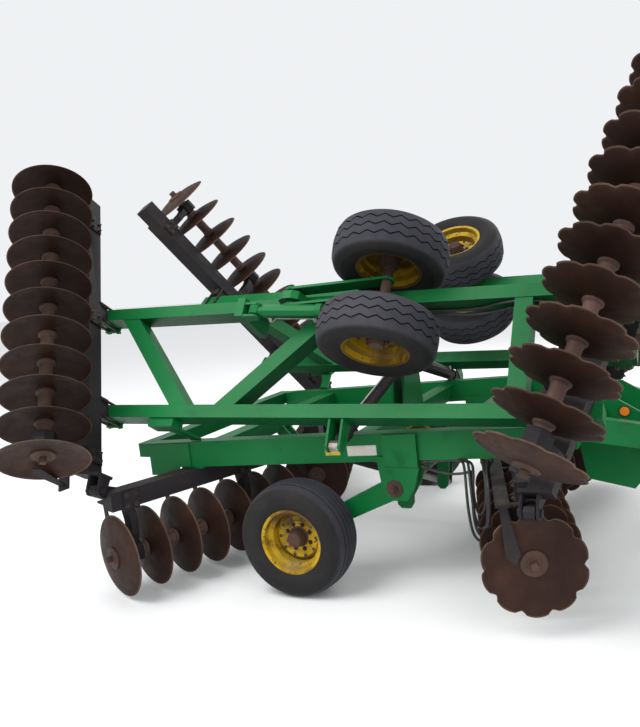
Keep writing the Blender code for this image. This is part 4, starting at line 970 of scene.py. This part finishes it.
def barrel_lines(tag, side):
    """Fittings of the fold cylinder and the wing lift's cylinder on one side."""
    along, above = wing_axes(side)
    anchor = wing_at(side, WING_ANCHOR[0], WING_LIFT_S, WING_ANCHOR[1])
    eye = wing_at(side, WING_EYE[0], WING_LIFT_S, WING_EYE[1])
    barrel_line("wing_lift_fittings_" + tag, "wing_lift_barrel_" + tag, anchor, eye, above - along * 0.6,
                WING_LIFT_SIZES, "green")
    anchor = Vector((AXLE_X + FOLD_X, side * FOLD_ANCHOR[0], FOLD_ANCHOR[1]))
    eye = wing_at(side, FOLD_X, FOLD_LUG[0], FOLD_LUG[1])
    barrel_line("fold_fittings_" + tag, "fold_barrel_" + tag, anchor, eye, (0, 0, 1), FOLD_SIZES, "slate")


def wing_hoses(tag, side):
    """Two hoses clipped along the outer beam's inner side, which faces down while the wing is folded."""
    hoses = Shape()
    low = OUTER_S - BEAM_W / 2 - HOSE_R - 0.001
    runs = (
        ((0.560, low, 0.235), (0.720, low, 0.232), (0.880, low, 0.238), (1.050, low, 0.240),
         (1.190, low, 0.222), (1.300, low, 0.182), (1.420, low, 0.160), (1.520, low, 0.172),
         (1.620, low, 0.205)),
        ((0.560, low, 0.258), (0.740, low, 0.257), (0.900, low - 0.012, 0.262), (1.080, low - 0.022, 0.268),
         (1.240, low - 0.016, 0.258), (1.380, low - 0.004, 0.226), (1.500, low, 0.205), (1.620, low, 0.228)),
    )
    for run in runs:
        hoses.tube([wing_at(side, *point) for point in run], HOSE_R, HOSE_SIDES)
    across, up = wing_axes(side)
    turn = Matrix((Vector((1, 0, 0)), across, up)).transposed()
    for x, t in ((0.640, 0.246), (1.560, 0.205)):
        hoses.box(wing_at(side, x, low - 0.002, t), turn, (0.030, 0.024, 0.070), 1, 0.003)
    hoses.finish("wing_hoses_" + tag, ("hose", "bolt"), "wing_" + tag)


def add_details():
    for tag, side in SIDES:
        for section in ("centre", "wing"):
            for front in (True, False):
                gang_details(Gang(tag, section, front))
        for add in (wing_straps, rail_plates, rail_hoses, wing_hoses, shaft_end, axle_sleeve, reflector,
                    barrel_lines):
            add(tag, side)


# The solids that no piece replaces: paint and softened edges

def dress(thing, key):
    thing.data.materials.clear()
    thing.data.materials.append(MATERIALS[key])
    weld = thing.modifiers.new("weld", "WELD")
    weld.merge_threshold = WELD_GAP
    bevel = thing.modifiers.new("edges", "BEVEL")
    bevel.width = SOFT_EDGE
    bevel.segments = 2
    bevel.limit_method = "ANGLE"
    bevel.angle_limit = math.radians(30)
    bevel.use_clamp_overlap = True


def dress_nodes():
    """Every solid that no piece replaces gets its slot's material."""
    keys = {"green_paint": "green", "dark_paint": "slate", "disc_steel": "disc", "tyre_rubber": "tyre",
            "yellow_paint": "yellow", "rod_steel": "rod"}
    for row in frame["record"]["subparts"]:
        thing = NODES[row["node"]]
        if not thing.hide_render:
            dress(thing, keys[row["material_slot"]])


make_camera()
make_stage()
MATERIALS = make_materials()
for tag, _ in SIDES:
    for section in ("centre", "wing"):
        for front in (True, False):
            make_gang(tag, section, front)
make_wheels()
add_details()
dress_nodes()
